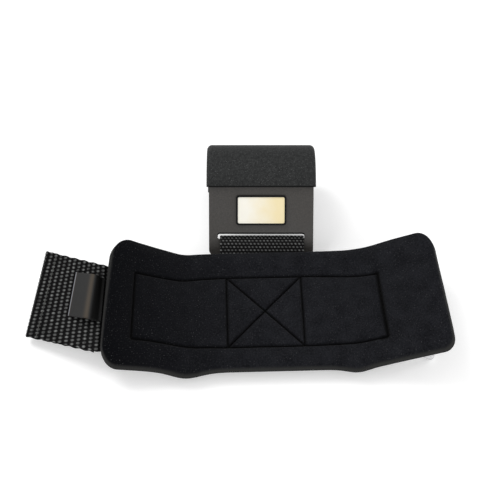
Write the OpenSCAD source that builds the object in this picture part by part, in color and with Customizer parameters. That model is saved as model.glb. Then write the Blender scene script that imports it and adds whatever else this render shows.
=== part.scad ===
// Lifting hook with a padded wrist cuff.
// A steel J-plate with a rubber-covered curl hangs from a padded cuff on a webbing loop.
// The origin is the axis of the bar seated in the curl; +X runs along the bar, +Z is up.
// The hook leans on its lip and on the loop, and the open cuff lies in front of it (-Y).

/* [Steel plate] */
// Width of the plate across the palm
plate_w = 63.5; // [61:0.5:72]
// Thickness of the plate
plate_t = 4; // [3:0.5:5]
// Straight run from the curl down to the slot
slot_drop = 28; // [26:1:36]
// Height of the webbing slot
slot_h = 4.5; // [4.5:0.5:7]
// Free width of the slot beyond the webbing
slot_play = 2.5; // [1.5:0.5:3.5]
// Corner radius of the slot
slot_corner_r = 1.75; // [1:0.25:2]
// Height of the rung under the slot
rung_h = 10; // [9:0.5:12]
// Corner radius at the rung end of the plate
plate_corner_r = 4; // [3:0.5:8]
// Straight lip past the half circle of the curl
lip_l = 6; // [4:0.5:9]

/* [Rubber cover] */
// Radius of the bar seat inside the curl
seat_r = 16; // [14:0.5:19]
// Rubber between the bar and the plate
liner_t = 1.5; // [1:0.25:2.5]
// Rubber outside the curl
cover_t = 2; // [1.5:0.25:3]
// Rubber past each side edge of the plate
cover_side = 1.4; // [1:0.2:2]
// Rubber past the end of the lip
cover_end = 2; // [1.5:0.25:3]
// Rounding of the cover's outer edges
cover_edge_r = 3; // [2:0.2:3.2]
// Gap between the cover and the plate
cover_fit = 0.05; // [0.02:0.01:0.1]

/* [Badge] */
// Width of the badge
badge_w = 30.5; // [26:0.5:36]
// Height of the badge
badge_h = 18.2; // [15:0.2:20]
// Distance from the curl to the middle of the badge
badge_drop = 14.2; // [13:0.1:18]
// Width of the raised rim
badge_rim_w = 1; // [0.8:0.1:1.6]
// Height of the rim above the plate
badge_rim_t = 1.2; // [0.9:0.1:1.6]
// Thickness of the inlaid face
badge_face_t = 0.8; // [0.5:0.1:0.9]
// Corner radius of the badge
badge_corner_r = 1.6; // [1.2:0.1:2.4]
// Gap round the inlaid face
badge_fit = 0.1; // [0.05:0.05:0.2]

/* [Webbing] */
// Width of all the webbing
web_w = 51; // [48:0.5:53]
// Thickness of the webbing
web_t = 1.6; // [1.3:0.1:2]
// Gap between layers that lie on each other
layer_gap = 0.1; // [0.05:0.05:0.2]
// Gap between the loop and the corners of the rung
loop_play = 0.5; // [0.3:0.1:0.8]
// Length over which the two legs of the loop close up
loop_neck = 16; // [13:0.5:20]

/* [Pad] */
// Width of the pad, from the hand edge to the forearm edge
pad_w = 77; // [70:1:84]
// Thickness of the cushion above its backing
pad_t = 6.2; // [5:0.2:8]
// Thickness of the backing sheet
backing_t = 1.8; // [1.2:0.1:2.4]
// Gap between the cushion and its backing
pad_gap = 0.25; // [0.15:0.05:0.35]
// Inset of the backing from the cushion's edge
backing_inset = 1.2; // [0.6:0.2:2]
// Rise of the cushion's middle over its edges
pad_crown = 1.2; // [0.6:0.1:2]
// Depth of the sewn channels
channel_d = 2.6; // [1.4:0.1:3]
// Softness of the channels' flanks
channel_w = 2.2; // [1.6:0.1:3]
// Distance from the rung to the pad's hand edge
pad_back = 11; // [10:0.5:12]
// Bulge of the forearm edge where the left wing starts to bend
left_bulge = 3.4; // [2:0.2:4]
// Bulge of the forearm edge where the right wing starts to bend
right_bulge = 2.2; // [1:0.2:2.6]
// Widening of the right end at the hand edge
right_flare = 3.5; // [0:0.5:4.5]
// Droop of the forearm edge
forearm_edge_droop = 1.4; // [0.6:0.2:1.6]
// Left end of the pad at the hand edge
pad_left_hand = 96.5; // [93:0.5:99]
// Left end of the pad at the forearm edge
pad_left_forearm = 96; // [93:0.5:99]
// Right end of the pad at the hand edge
pad_right_hand = 106; // [102:0.5:109]
// Right end of the pad at the forearm edge
pad_right_forearm = 110; // [106:0.5:113]
// Corner radius of the pad's outline
pad_corner_r = 10.5; // [7:0.5:11.5]

/* [Stitching] */
// Width of the stitched outline, just inside the webbing's edges
stitch_w = 47; // [44:0.5:48]
// How far the long seams draw in at the left end
left_taper = 3.2; // [0:0.2:4]
// How far the long seams draw in at the right end
right_taper = 2; // [0:0.2:4]
// Offset of the webbing's middle line from the pad's middle
web_offset = -2; // [-3:0.5:1]
// Half length of the box-and-cross seam
box_half = 22; // [20:0.5:24]
// Left end of the stitched outline at the hand edge
stitch_left_hand = 81; // [76:0.5:82]
// Left end of the stitched outline at the forearm edge
stitch_left_forearm = 79.5; // [76:0.5:82]
// Right end of the stitched outline at the hand edge
stitch_right_hand = 70.5; // [67:0.5:74]
// Right end of the stitched outline at the forearm edge
stitch_right_forearm = 73; // [67:0.5:76]

/* [Cuff shape] */
// Distance from the middle to each wing's hinge line
hinge_s = 34; // [34:0.5:38]
// Angle that each wing can open past its curled rest
wing_open = 12; // [8:1:14]
// Gap between the middle panel and a wing at the inner face
hinge_gap = 0.15; // [0.1:0.05:0.3]
// Sideways play of the cuff in the slot
cuff_x = 0.5; // [-0.5:0.25:0.5]
// Turn of the pad about the slot, seen from above
cuff_yaw = 1.6; // [0:0.2:2]
// Curl of the left wing at the hand edge
left_curl_hand = 31; // [26:1:34]
// Curl of the left wing at the forearm edge
left_curl_forearm = 10; // [7:1:16]
// Start of the left wing's bend
left_bend_from = 42.5; // [40:0.5:45]
// Length of the left wing's bend
left_bend_l = 12; // [11:0.5:18]
// Curl of the right wing
right_curl = 23; // [19:1:28]
// Start of the right wing's bend
right_bend_from = 46; // [43:0.5:49]
// Length of the right wing's bend
right_bend_l = 25; // [20:0.5:28]

/* [Strap tail] */
// Visible length of the tail along its forearm edge
tail_l = 44; // [40:0.5:50]
// Angle at which the tail veers towards the hook
tail_veer = 20; // [14:1:23]
// Slant of the fold
fold_slant = 17; // [12:1:22]
// Rise of the fold towards the hand edge
fold_rise = 32; // [24:1:34]
// Half distance between the tail and its folded-back leg
fold_r = 2.3; // [2.2:0.05:2.6]
// Thickness of each closure tape
tape_t = 1.15; // [0.9:0.05:1.2]
// Width of the closure tapes
tape_w = 45; // [38:0.5:47]
// Width of the care label along the webbing's width
label_w = 25; // [20:0.5:28]
// Length of the care label along the tail
label_l = 20; // [15:0.5:21]
// Thickness of the folded care label
label_t = 0.6; // [0.4:0.1:0.8]

/* [Ring] */
// Thickness of the ring's wire
wire_d = 3.2; // [2.8:0.1:3.6]
// Gap between the webbing's edges and the ring's short sides
ring_play = 1; // [0.7:0.1:1.5]
// Clear depth of the ring
ring_depth = 12; // [10:0.5:13]
// Corner radius of the wire's middle line
ring_corner_r = 3.2; // [2.8:0.1:4]
// Gap between the wire and its keeper
keeper_fit = 0.3; // [0.2:0.05:0.4]
// Distance from the middle of the pad to the ring's pivot
ring_s = 85; // [83:0.5:86]
// Length of the keeper's sewn legs
keeper_leg = 8; // [6:0.5:9]
// Angle between the hanging ring and the wing
ring_hang = 66; // [60:1:80]

/* [Hidden] */
$fn = 96;
soft_fn = 32;

// Hook section: radii of the curl, in the plane square to the bar
plate_ri = seat_r + liner_t;
plate_ro = plate_ri + plate_t;
cover_ro = plate_ro + cover_t;
cover_w = plate_w + 2 * (cover_fit + cover_side);
plate_l = slot_drop + slot_h + rung_h;
slot_w = web_w + slot_play;
lip_tip = lip_l + cover_end;

// Rung middle in the hook's own frame, and the loop that runs round it
rung_y = -(slot_drop + slot_h + rung_h / 2);
rung_z = (plate_ri + plate_ro) / 2;
loop_ri = norm([rung_h / 2, plate_t / 2]) + loop_play;
loop_ro = loop_ri + web_t;

// The lip's tip and the underside of the loop stand on one plane
lean_a = cover_ro + rung_z;
lean_b = -rung_y - lip_tip;
plate_tilt = acos(loop_ro / norm([lean_a, lean_b])) - atan2(lean_b, lean_a);
rung_wy = rung_y * cos(plate_tilt) - rung_z * sin(plate_tilt);
rung_wz = rung_y * sin(plate_tilt) + rung_z * cos(plate_tilt);

// Levels of the cuff, measured up from the plane between the loop's legs
pad_z = web_t + 1.5 * layer_gap;
strap_drop = 2 * web_t + 3 * layer_gap;
pad_mid_y = -(pad_back + pad_w / 2);
strap_front_y = pad_mid_y + web_offset - web_w / 2;
strap_low_z = pad_z - strap_drop - web_t;

// The strap's forearm edge lies on the same plane as the hook
cuff_tilt = asin(loop_ro / norm([strap_front_y, strap_low_z]))
    - atan2(-strap_low_z, -strap_front_y);

// The loop's upper leg climbs to its eye in a straight line; the hand edge rides on it
leg_pair = 2 * web_t + layer_gap;
leg_climb = tan(
    asin(loop_ro / norm([loop_neck, leg_pair / 2])) - atan2(leg_pair / 2, loop_neck));
yaw_reach = (web_w / 2 + 1) * sin(cuff_yaw);
hand_edge_lift = (loop_neck - pad_back - backing_inset + yaw_reach) * leg_climb
    + leg_pair / 2 + 2 * layer_gap - pad_z;

// Half width of the dip that lets the turned strap pass below both legs of the loop
loop_reach = -pad_mid_y - web_offset + stitch_w / 2;
dip_half = web_w / 2 + 1 + (loop_reach - pad_back) * sin(cuff_yaw);

// Hinge height of the wings above the backing's underside
pad_top = backing_t + pad_gap + pad_t;
hinge_h = pad_top + pad_crown + 0.2;

function clamp01(v) = min(1, max(0, v));
function ramp(v) = let (c = clamp01(v)) c * c * (3 - 2 * c);
function mix(a, b, f) = a + (b - a) * f;
function unit(v) = v / norm(v);
function steps(a, b, n) = [for (i = [0 : n]) mix(a, b, i / n)];

// Curl angle of the wing on side d (-1 left, 1 right) at position t across the pad
function curl(d, t) = d < 0
    ? mix(left_curl_forearm, left_curl_hand, clamp01(t / pad_w + 0.5))
    : right_curl;
function bend_from(d) = d < 0 ? left_bend_from : right_bend_from;
function bend_l(d) = d < 0 ? left_bend_l : right_bend_l;

// Soft height of the cuff: the hand edge rides over the loop, the forearm edge droops
function sag(s, t) =
    hand_edge_lift * ramp((t - pad_w / 2 + 13) / 13) * (1 - ramp((abs(s) - 30) / 40))
    - forearm_edge_droop * ramp((-t - pad_w / 2 + 12) / 12);

// Turn about the upright through the middle of the hand edge
function yawed(p) = let (x = p[0], y = p[1] + pad_back)
    [x * cos(cuff_yaw) - y * sin(cuff_yaw), x * sin(cuff_yaw) + y * cos(cuff_yaw) - pad_back, p[2]];

// Point of the cuff at length s, width t and height h over the backing's underside
function cuff_point(s, t, h) = yawed(curled_point(s, t, h));
function curled_point(s, t, h) =
    let (
        d = s < 0 ? -1 : 1,
        a = curl(d, t),
        r = bend_l(d) / (a * PI / 180),
        over = abs(s) - bend_from(d),
        b = a * clamp01(over / bend_l(d)),
        past = max(0, over - bend_l(d))
    )
    over <= 0
        ? [s, pad_mid_y + t, pad_z + h + sag(s, t)]
        : [
            d * (bend_from(d) + (r - h) * sin(b) + past * cos(a)),
            pad_mid_y + t,
            pad_z + r - (r - h) * cos(b) + past * sin(a) + sag(s, t)
        ];

// Distance from the middle to the pad's end on side d
function pad_end(d, t) = let (f = clamp01(t / pad_w + 0.5)) d < 0
    ? mix(pad_left_forearm, pad_left_hand, f)
    : mix(pad_right_forearm, pad_right_hand, f);

// Distance from the middle to the end seam on side d, at v across the webbing
function stitch_end(d, v) = let (f = clamp01(v / stitch_w + 0.5)) d < 0
    ? mix(stitch_left_forearm, stitch_left_hand, f)
    : mix(stitch_right_forearm, stitch_right_hand, f);

// Real place across the pad: towards the ends the seams draw in, and the right end widens
function spread(s, t) =
    let (
        v = t - web_offset,
        inside = max(-1, min(1, 2 * v / stitch_w)),
        fade = clamp01((pad_w / 2 - abs(t)) / (pad_w / 2 - stitch_w / 2 - abs(web_offset))),
        taper = (s < 0 ? left_taper : right_taper) * ramp((abs(s) - box_half) / 55)
    )
    t - taper * inside * fade
        + right_flare * ramp((s - 25) / 65) * pow(max(0, 2 * t / pad_w), 4);

// Distance to the nearest seam: stitched outline and the cross in its box
function seam_distance(s, t) =
    let (
        v = t - web_offset,
        half = stitch_w / 2,
        in_v = abs(v) <= half,
        past = abs(s) - stitch_end(s, v),
        long_seam = abs(abs(v) - half) + max(0, past),
        end_seam = abs(past) + max(0, abs(v) - half),
        box_seam = abs(abs(s) - box_half) + max(0, abs(v) - half),
        cross = in_v && abs(s) <= box_half
            ? abs(abs(s) * half - abs(v) * box_half) / norm([half, box_half])
            : 99
    )
    min(long_seam, end_seam, box_seam, cross);

// Thickness of the cushion: a crown with sewn channels let into it
function cushion_t(s, t) =
    pad_t + pad_crown * (1 - pow(2 * t / pad_w, 2))
    - channel_d * exp(-seam_distance(s, t) / channel_w);

// Faces along a tube of rings, split so that the creases follow the cross seam
function side_faces(rings, per, flips) = [for (i = [0 : rings - 2], j = [0 : per - 1])
    let (
        a = i * per + j,
        b = i * per + (j + 1) % per,
        c = a + per,
        e = b + per
    )
    each (flips[i][j] ? [[a, c, b], [c, e, b]] : [[a, e, b], [a, c, e]])];

// End faces of a solid section, as a fan round its middle point
function fan(first, per, hub, back) = [for (j = [0 : per - 1])
    let (a = first + j, b = first + (j + 1) % per)
    back ? [b, a, hub] : [a, b, hub]];

// End faces of a thin section, whose two long sides run beside each other
function ladder(first, per, back) = [for (j = [0 : per / 2 - 2])
    let (a = first + j, b = a + 1, c = first + per - 1 - j, e = c - 1)
    each (back ? [[a, c, b], [b, c, e]] : [[a, b, c], [b, e, c]])];

function middle(points) = [for (i = [0 : 2]) sum([for (p = points) p[i]]) / len(points)];
function sum(v) = v * [for (i = v) 1];

// Solid tube of rings, closed at both ends
module tube(rings, flips) {
    n = len(rings);
    per = len(rings[0]);
    last = (n - 1) * per;
    polyhedron(
        [for (r = rings, p = r) p, middle(rings[0]), middle(rings[n - 1])],
        concat(
            side_faces(n, per, flips),
            fan(0, per, n * per, false),
            fan(last, per, n * per + 1, true)
        )
    );
}

// Thin closed sheet between two grids of points; low is its under face
module sheet(low, high) {
    n = len(low);
    m = len(low[0]);
    per = 2 * m;
    rings = [for (i = [0 : n - 1]) concat(high[i], [for (j = [m - 1 : -1 : 0]) low[i][j]])];
    flips = [for (i = [0 : n - 2]) [for (j = [0 : per - 1]) false]];
    polyhedron(
        [for (r = rings, p = r) p],
        concat(
            side_faces(n, per, flips),
            ladder(0, per, false),
            ladder((n - 1) * per, per, true)
        )
    );
}

// Positions across the pad: the seams fall on rows
hand_band = pad_w / 2 - web_offset - stitch_w / 2;
forearm_band = pad_w / 2 + web_offset - stitch_w / 2;
top_stops = concat(
    [for (f = [0.14, 0.4, 0.66, 0.86]) -pad_w / 2 + f * forearm_band],
    [for (i = [0 : 16]) web_offset - stitch_w / 2 + i * stitch_w / 16],
    [for (f = [0.14, 0.34, 0.6, 0.86]) pad_w / 2 - (1 - f) * hand_band]
);
// Drawn-in side of the cushion, as width share and height share
side_profile = [[0.982, 0], [1, 0.3], [1, 0.62], [0.985, 0.86]];
// Rows of the underside, shared with the backing, as shares of the half width
under_stops = [0.83, 0.67, 0, -0.67, -0.83];

// Bulge of the forearm edge beside each bend
function bulge(s) =
    left_bulge * exp(-pow((s + left_bend_from + 4) / 12, 2))
    + right_bulge * exp(-pow((s - right_bend_from - 6) / 9, 2));

// One section of the cushion; squeeze draws it in at a rounded end
function cushion_ring(place, half, squeeze, out) = concat(
    [for (p = side_profile) place(-half * p[0] - out, p[1] * squeeze)],
    [for (t = top_stops) let (edge = -t * 2 / pad_w)
        place(t * half * 2 / pad_w - out * pow(max(0, edge), 6), squeeze)],
    [for (i = [len(side_profile) - 1 : -1 : 0])
        place(half * side_profile[i][0], side_profile[i][1] * squeeze)],
    [for (u = under_stops) place(half * u, 0)]
);

// Half width left at distance e from a rounded end
function end_half(e) = e >= pad_corner_r
    ? pad_w / 2
    : pad_w / 2 - pad_corner_r * (1 - sqrt(1 - pow(1 - e / pad_corner_r, 2)));
function end_squeeze(e) = e >= 3 ? 1 : mix(0.5, 1, sqrt(1 - pow(1 - e / 3, 2)));

// Length position from the hinge line outwards, leaving the wedge that lets a wing open
function wing_s(d, t, h, f, far) =
    let (near = hinge_s + hinge_gap
        + (hinge_h - h + forearm_edge_droop) * tan(wing_open))
    d * mix(near, far, f);

function cushion_point(s, t, k) =
    let (base = backing_t + pad_gap)
    cuff_point(s, spread(s, t), base + k * cushion_t(s, t));

function cell_flips(ss, n_side, n_ring) = [for (i = [0 : len(ss) - 2])
    [for (j = [0 : n_ring - 1])
        let (
            q = j - n_side,
            v = q >= 0 && q < len(top_stops) - 1
                ? (top_stops[q] + top_stops[q + 1]) / 2 - web_offset
                : 1
        )
        (ss[i] + ss[i + 1]) * v < 0]];

module pad_panel() {
    ss = concat(
        steps(-hinge_s, -box_half, 4),
        [for (i = [1 : 15]) -box_half + i * box_half / 8],
        steps(box_half, hinge_s, 4)
    );
    rings = [for (s = ss)
        cushion_ring(function (t, k) cushion_point(s, t, k), pad_w / 2, 1, bulge(s))];
    tube(rings, cell_flips(ss, len(side_profile), len(rings[0])));
}

// Outer stops of a wing, as distances left to its rounded end
end_stops = [9, 6.5, 4.5, 3, 1.6, 0.6, 0];

module pad_wing(d, cells) {
    seam_s = stitch_end(d, 0);
    inner = [for (f = steps(0, 1, cells)) [f, -1]];
    outer_cells = d < 0 ? [] : [0.25, 0.5, 0.75];
    outer = [for (f = outer_cells) [f, -2]];
    ends = [for (e = end_stops) [e, -3]];
    stops = concat(inner, outer, ends);
    rings = [for (q = stops)
        let (
            e = q[1] == -3 ? q[0] : 99,
            half = end_half(e),
            bulge_s = q[1] == -1 ? mix(hinge_s, min(seam_s, pad_end(d, 0) - end_stops[0]), q[0])
                : seam_s,
            place = function (t, k)
                let (
                    h = backing_t + pad_gap + k * pad_t,
                    tip = pad_end(d, t),
                    mid = min(stitch_end(d, t - web_offset), tip - end_stops[0]),
                    s = q[1] == -1 ? wing_s(d, t, h, q[0], mid)
                        : q[1] == -2 ? d * mix(mid, tip - end_stops[0], q[0])
                        : d * (tip - e)
                )
                cushion_point(s, t, k)
        )
        cushion_ring(place, half, end_squeeze(e), bulge(d * bulge_s))];
    flips = [for (i = [0 : len(stops) - 2]) [for (j = [0 : len(rings[0]) - 1]) false]];
    if (d < 0)
        tube([for (i = [len(rings) - 1 : -1 : 0]) rings[i]], flips);
    else
        tube(rings, flips);
}

// Rows of the backing for a cushion of that half width
function backing_rows(half) = concat(
    [-half + backing_inset],
    [for (i = [len(under_stops) - 1 : -1 : 0]) half * under_stops[i]],
    [half - backing_inset]
);

module backing_panel() {
    ts = backing_rows(pad_w / 2);
    ss = steps(-hinge_s, hinge_s, 8);
    sheet(
        [for (s = ss) [for (t = ts) cuff_point(s, spread(s, t), 0)]],
        [for (s = ss) [for (t = ts) cuff_point(s, spread(s, t), backing_t)]]
    );
}

module backing_wing(d, cells) {
    fs = d < 0 ? steps(1, 0, cells) : steps(0, 1, cells);
    function grid(h) = [for (f = fs)
        let (left_over = (1 - f) * (pad_end(d, 0) - hinge_s) + backing_inset)
        [for (t = backing_rows(end_half(left_over)))
            let (s = wing_s(d, t, h, f, pad_end(d, t) - backing_inset))
            cuff_point(s, spread(s, t), h)]];
    sheet(grid(0), grid(backing_t));
}

// Drop of the strap under the backing: it passes below the loop's legs in the middle
function strap_h(s) = -layer_gap
    - (strap_drop - layer_gap) * (1 - ramp((abs(s) - dip_half) / 11));

function strap_point(s, v, o) = cuff_point(s, web_offset + v * web_w / 2, strap_h(s) - o);

module strap_panel() {
    ss = concat(steps(-hinge_s, -dip_half, 4), steps(dip_half, hinge_s, 4));
    vs = steps(-1, 1, 4);
    sheet(
        [for (s = ss) [for (v = vs) strap_point(s, v, web_t)]],
        [for (s = ss) [for (v = vs) strap_point(s, v, 0)]]
    );
}

// Sewn strap under a wing, up to far(v)
module strap_wing(d, cells, far) {
    vs = steps(-1, 1, 4);
    function grid(o) = [for (f = d < 0 ? steps(1, 0, cells) : steps(0, 1, cells)) [for (v = vs)
        strap_point(wing_s(d, 0, strap_h(hinge_s + 3) - o, f, far(v)), v, o)]];
    sheet(grid(web_t), grid(0));
}

// Left end of the sewn strap follows the pad's left end, and stays clear of the tail's
// straight root where the twisted wing bows out between its edges
tail_gap = 0.5;
root_bow = 0.5;
function tail_root(v) = pad_end(-1, web_offset + v * web_w / 2) + 0.6 - root_bow * (1 - v * v);

// Tail: a strip stretched from its root to the slanted fold
function root_point(v) =
    let (
        edge = strap_point(-tail_root(v), v, web_t / 2),
        inner = strap_point(-tail_root(v) + 1, v, web_t / 2)
    )
    edge + tail_gap * 2 * unit(edge - inner);
root_front = root_point(-1);
root_back = root_point(1);

// The fold's lowest end stands just above the surface under the part
fold_ro = fold_r + web_t / 2;
fold_y = root_front[1] + tail_l * sin(tail_veer);
fold_low_z = (fold_ro + 0.4 - loop_ro - fold_y * sin(cuff_tilt)) / cos(cuff_tilt) + fold_r;
fold_front = [root_front[0] - tail_l * cos(tail_veer), fold_y, fold_low_z];
fold_dir = [
    sin(fold_slant) * cos(fold_rise),
    cos(fold_slant) * cos(fold_rise),
    sin(fold_rise)
];
fold_back = fold_front + web_w * fold_dir;

function tail_mid(u, v) = mix(
    mix(root_front, root_back, v), mix(fold_front, fold_back, v), u);
function tail_normal(u, v) =
    let (
        du = mix(fold_front - root_front, fold_back - root_back, v),
        dv = mix(root_back - root_front, fold_back - fold_front, u)
    )
    unit(cross(dv, du));
// Point of the tail at share u of its length, v of its width, and o above its middle layer
function tail_point(u, v, o) = tail_mid(u, v) + o * tail_normal(u, v);

module tail_sheet(u0, u1, v0, v1, low, high) {
    us = steps(u1, u0, 8);
    vs = steps(v0, v1, 4);
    sheet(
        [for (u = us) [for (v = vs) tail_point(u, v, low)]],
        [for (u = us) [for (v = vs) tail_point(u, v, high)]]
    );
}

tape_inset = (1 - tape_w / web_w) / 2;
loop_tape_high = -web_t / 2 - 0.05;
return_low = -2 * fold_r - web_t / 2;
return_high = -2 * fold_r + web_t / 2;

// Roll of the fold: half a turn from the tail to its folded-back leg
function roll_point(turn, v, r) =
    let (
        n = tail_normal(1, v),
        out = unit(cross(n, fold_dir)),
        c = tail_mid(1, v) - fold_r * n
    )
    c + r * (cos(turn) * n + sin(turn) * out);

// Eye of webbing round a bar of radius r, with two legs that close up behind it
module webbing_eye(r, neck, leg_end) {
    difference() {
        union() {
            hull() {
                circle(r + web_t, $fn = soft_fn);
                translate([-neck, 0]) square([0.02, leg_pair], center = true);
            }
            translate([-leg_end, -leg_pair / 2]) square([leg_end - neck + 0.01, leg_pair]);
        }
        hull() {
            circle(r, $fn = soft_fn);
            translate([-neck, 0]) square([0.02, layer_gap], center = true);
        }
        translate([-leg_end - 1, -layer_gap / 2])
            square([leg_end - neck + 1.01, layer_gap]);
    }
}

module in_hook_frame() {
    rotate([plate_tilt, 0, 0]) children();
}

module in_cuff_frame() {
    translate([cuff_x, rung_wy, rung_wz]) rotate([cuff_tilt, 0, 0]) children();
}

// Half turn round the bar plus a straight lip, for a section drawn as (radius, width)
module curl_sweep(lip) {
    rotate([0, 90, 0]) rotate_extrude(angle = 180) children();
    rotate([90, 0, 0]) linear_extrude(lip) rotate([0, 0, -90]) children();
}

module rounded_rect(w, h, r) {
    square([w - 2 * r, h], center = true);
    square([w, h - 2 * r], center = true);
    for (x = [-1, 1], y = [-1, 1])
        translate([x * (w / 2 - r), y * (h / 2 - r)]) circle(r);
}

module plate_outline() {
    difference() {
        union() {
            translate([-plate_w / 2, -plate_l + plate_corner_r])
                square([plate_w, plate_l - plate_corner_r]);
            translate([-plate_w / 2 + plate_corner_r, -plate_l])
                square([plate_w - 2 * plate_corner_r, plate_corner_r]);
            for (x = [-1, 1])
                translate([x * (plate_w / 2 - plate_corner_r), -plate_l + plate_corner_r])
                    circle(plate_corner_r);
        }
        translate([0, -slot_drop - slot_h / 2]) rounded_rect(slot_w, slot_h, slot_corner_r);
    }
}

module hook_plate() {
    color("dimgray") in_hook_frame() {
        translate([0, 0, plate_ri]) linear_extrude(plate_t) plate_outline();
        curl_sweep(lip_l)
            translate([plate_ri, -plate_w / 2]) square([plate_t, plate_w]);
    }
}

// Section of the cover: square at the bar, rounded outside
module cover_section() {
    depth = cover_ro - seat_r;
    translate([seat_r + depth / 2, 0]) {
        rounded_rect(depth, cover_w, cover_edge_r);
        translate([-depth / 2, -cover_w / 2]) square([depth / 2, cover_w]);
    }
}

module hook_sleeve() {
    color([0.16, 0.16, 0.17]) in_hook_frame() difference() {
        curl_sweep(lip_tip) cover_section();
        curl_sweep(lip_l + cover_fit)
            translate([plate_ri - cover_fit, -plate_w / 2 - cover_fit])
                square([plate_t + 2 * cover_fit, plate_w + 2 * cover_fit]);
    }
}

module on_badge_seat() {
    in_hook_frame() translate([0, -badge_drop, plate_ro]) children();
}

module badge_rim() {
    inner_w = badge_w - 2 * badge_rim_w;
    inner_h = badge_h - 2 * badge_rim_w;
    color([0.05, 0.05, 0.05]) on_badge_seat() linear_extrude(badge_rim_t) difference() {
        rounded_rect(badge_w, badge_h, badge_corner_r);
        rounded_rect(inner_w, inner_h, badge_corner_r * 0.6);
    }
}

module badge_face() {
    inset = 2 * (badge_rim_w + badge_fit);
    color("ivory") on_badge_seat() linear_extrude(badge_face_t)
        rounded_rect(badge_w - inset, badge_h - inset, badge_corner_r * 0.6);
}

module hook_loop() {
    color([0.1, 0.1, 0.11]) in_cuff_frame() rotate([90, 0, 90])
        linear_extrude(web_w, center = true)
            webbing_eye(loop_ri, loop_neck, loop_reach);
}

module pad_centre() {
    color([0.14, 0.14, 0.15]) in_cuff_frame() pad_panel();
}

module pad_left() {
    color([0.14, 0.14, 0.15]) in_cuff_frame() pad_wing(-1, 10);
}

module pad_right() {
    color([0.14, 0.14, 0.15]) in_cuff_frame() pad_wing(1, 10);
}

module backing_centre() {
    color([0.22, 0.22, 0.22]) in_cuff_frame() backing_panel();
}

module backing_left() {
    color([0.22, 0.22, 0.22]) in_cuff_frame() backing_wing(-1, 12);
}

module backing_right() {
    color([0.22, 0.22, 0.22]) in_cuff_frame() backing_wing(1, 14);
}

module strap_centre() {
    color([0.1, 0.1, 0.11]) in_cuff_frame() strap_panel();
}

module strap_left() {
    color([0.1, 0.1, 0.11]) in_cuff_frame() strap_wing(-1, 12, function (v) tail_root(v));
}

keeper_neck = 6;
strap_right_end = ring_s - keeper_neck - 0.3;

module strap_right() {
    color([0.1, 0.1, 0.11]) in_cuff_frame()
        strap_wing(1, 14, function (v) strap_right_end);
}

module tail_strap() {
    color([0.1, 0.1, 0.11]) in_cuff_frame()
        tail_sheet(0, 1, 0, 1, -web_t / 2, web_t / 2);
}

module tail_fold() {
    turns = steps(0, 180, 10);
    vs = steps(0, 1, 4);
    color([0.1, 0.1, 0.11]) in_cuff_frame() sheet(
        [for (v = vs) [for (a = turns) roll_point(a, v, fold_r - web_t / 2)]],
        [for (v = vs) [for (a = turns) roll_point(a, v, fold_ro)]]
    );
}

module tail_return() {
    color([0.1, 0.1, 0.11]) in_cuff_frame()
        tail_sheet(0.06, 0.997, 0, 1, return_low, return_high);
}

module loop_tape() {
    color([0.08, 0.08, 0.08]) in_cuff_frame()
        tail_sheet(0.08, 0.94, tape_inset, 1 - tape_inset,
            loop_tape_high - tape_t, loop_tape_high);
}

module hook_tape() {
    low = return_high + 0.05;
    color([0.06, 0.06, 0.06]) in_cuff_frame()
        tail_sheet(0.08, 0.8, tape_inset, 1 - tape_inset, low, low + tape_t);
}

// Care label sewn near the root of the tail
label_u0 = 0.08;
label_v0 = 0.37;
module care_label() {
    low = web_t / 2 + 0.25;
    color([0.25, 0.24, 0.23]) in_cuff_frame()
        tail_sheet(label_u0, label_u0 + label_l / tail_l,
            label_v0, label_v0 + label_w / web_w, low, low + label_t);
}

// Pivot of the ring under the right wing
keeper_ri = wire_d / 2 + keeper_fit;
ring_h = -keeper_ri - web_t - layer_gap / 2;
ring_pivot = cuff_point(ring_s, web_offset, ring_h);

module at_ring_pivot(turn) {
    in_cuff_frame() translate(ring_pivot) rotate([0, 0, cuff_yaw])
        rotate([0, turn - right_curl, 0]) children();
}

module ring_keeper() {
    color([0.1, 0.1, 0.11]) at_ring_pivot(0) rotate([90, 0, 0])
        linear_extrude(web_w - 2, center = true)
            webbing_eye(keeper_ri, keeper_neck, keeper_neck + keeper_leg);
}

// Rectangular wire ring; its near side runs through the keeper
module ring() {
    long = web_w + 2 * ring_play + wire_d;
    deep = ring_depth + wire_d;
    r = ring_corner_r;
    color("silver") at_ring_pivot(ring_hang) translate([deep / 2, 0, 0]) {
        for (x = [-1, 1]) translate([x * deep / 2, 0, 0]) rotate([90, 0, 0])
            cylinder(h = long - 2 * r, d = wire_d, center = true);
        for (y = [-1, 1]) translate([0, y * long / 2, 0]) rotate([0, 90, 0])
            cylinder(h = deep - 2 * r, d = wire_d, center = true);
        for (x = [0, 1], y = [0, 1]) mirror([x, 0, 0]) mirror([0, y, 0])
            translate([deep / 2 - r, long / 2 - r, 0])
                rotate_extrude(angle = 90) translate([r, 0]) circle(d = wire_d);
    }
}

hook_plate();
hook_sleeve();
badge_rim();
badge_face();
hook_loop();
pad_centre();
backing_centre();
strap_centre();
pad_left();
backing_left();
strap_left();
pad_right();
backing_right();
strap_right();
ring_keeper();
ring();
tail_strap();
tail_fold();
tail_return();
loop_tape();
hook_tape();
care_label();
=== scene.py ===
"""Visible model of a lifting hook with a padded wrist cuff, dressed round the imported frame.

Shapes are in millimetres and become metres in their meshes, and finishes are in metres.
Sizes give angles in degrees.
"""

import logging
import math
from abc import ABC, abstractmethod
from dataclasses import dataclass, field
from enum import Enum
from typing import Optional, Sequence

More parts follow.
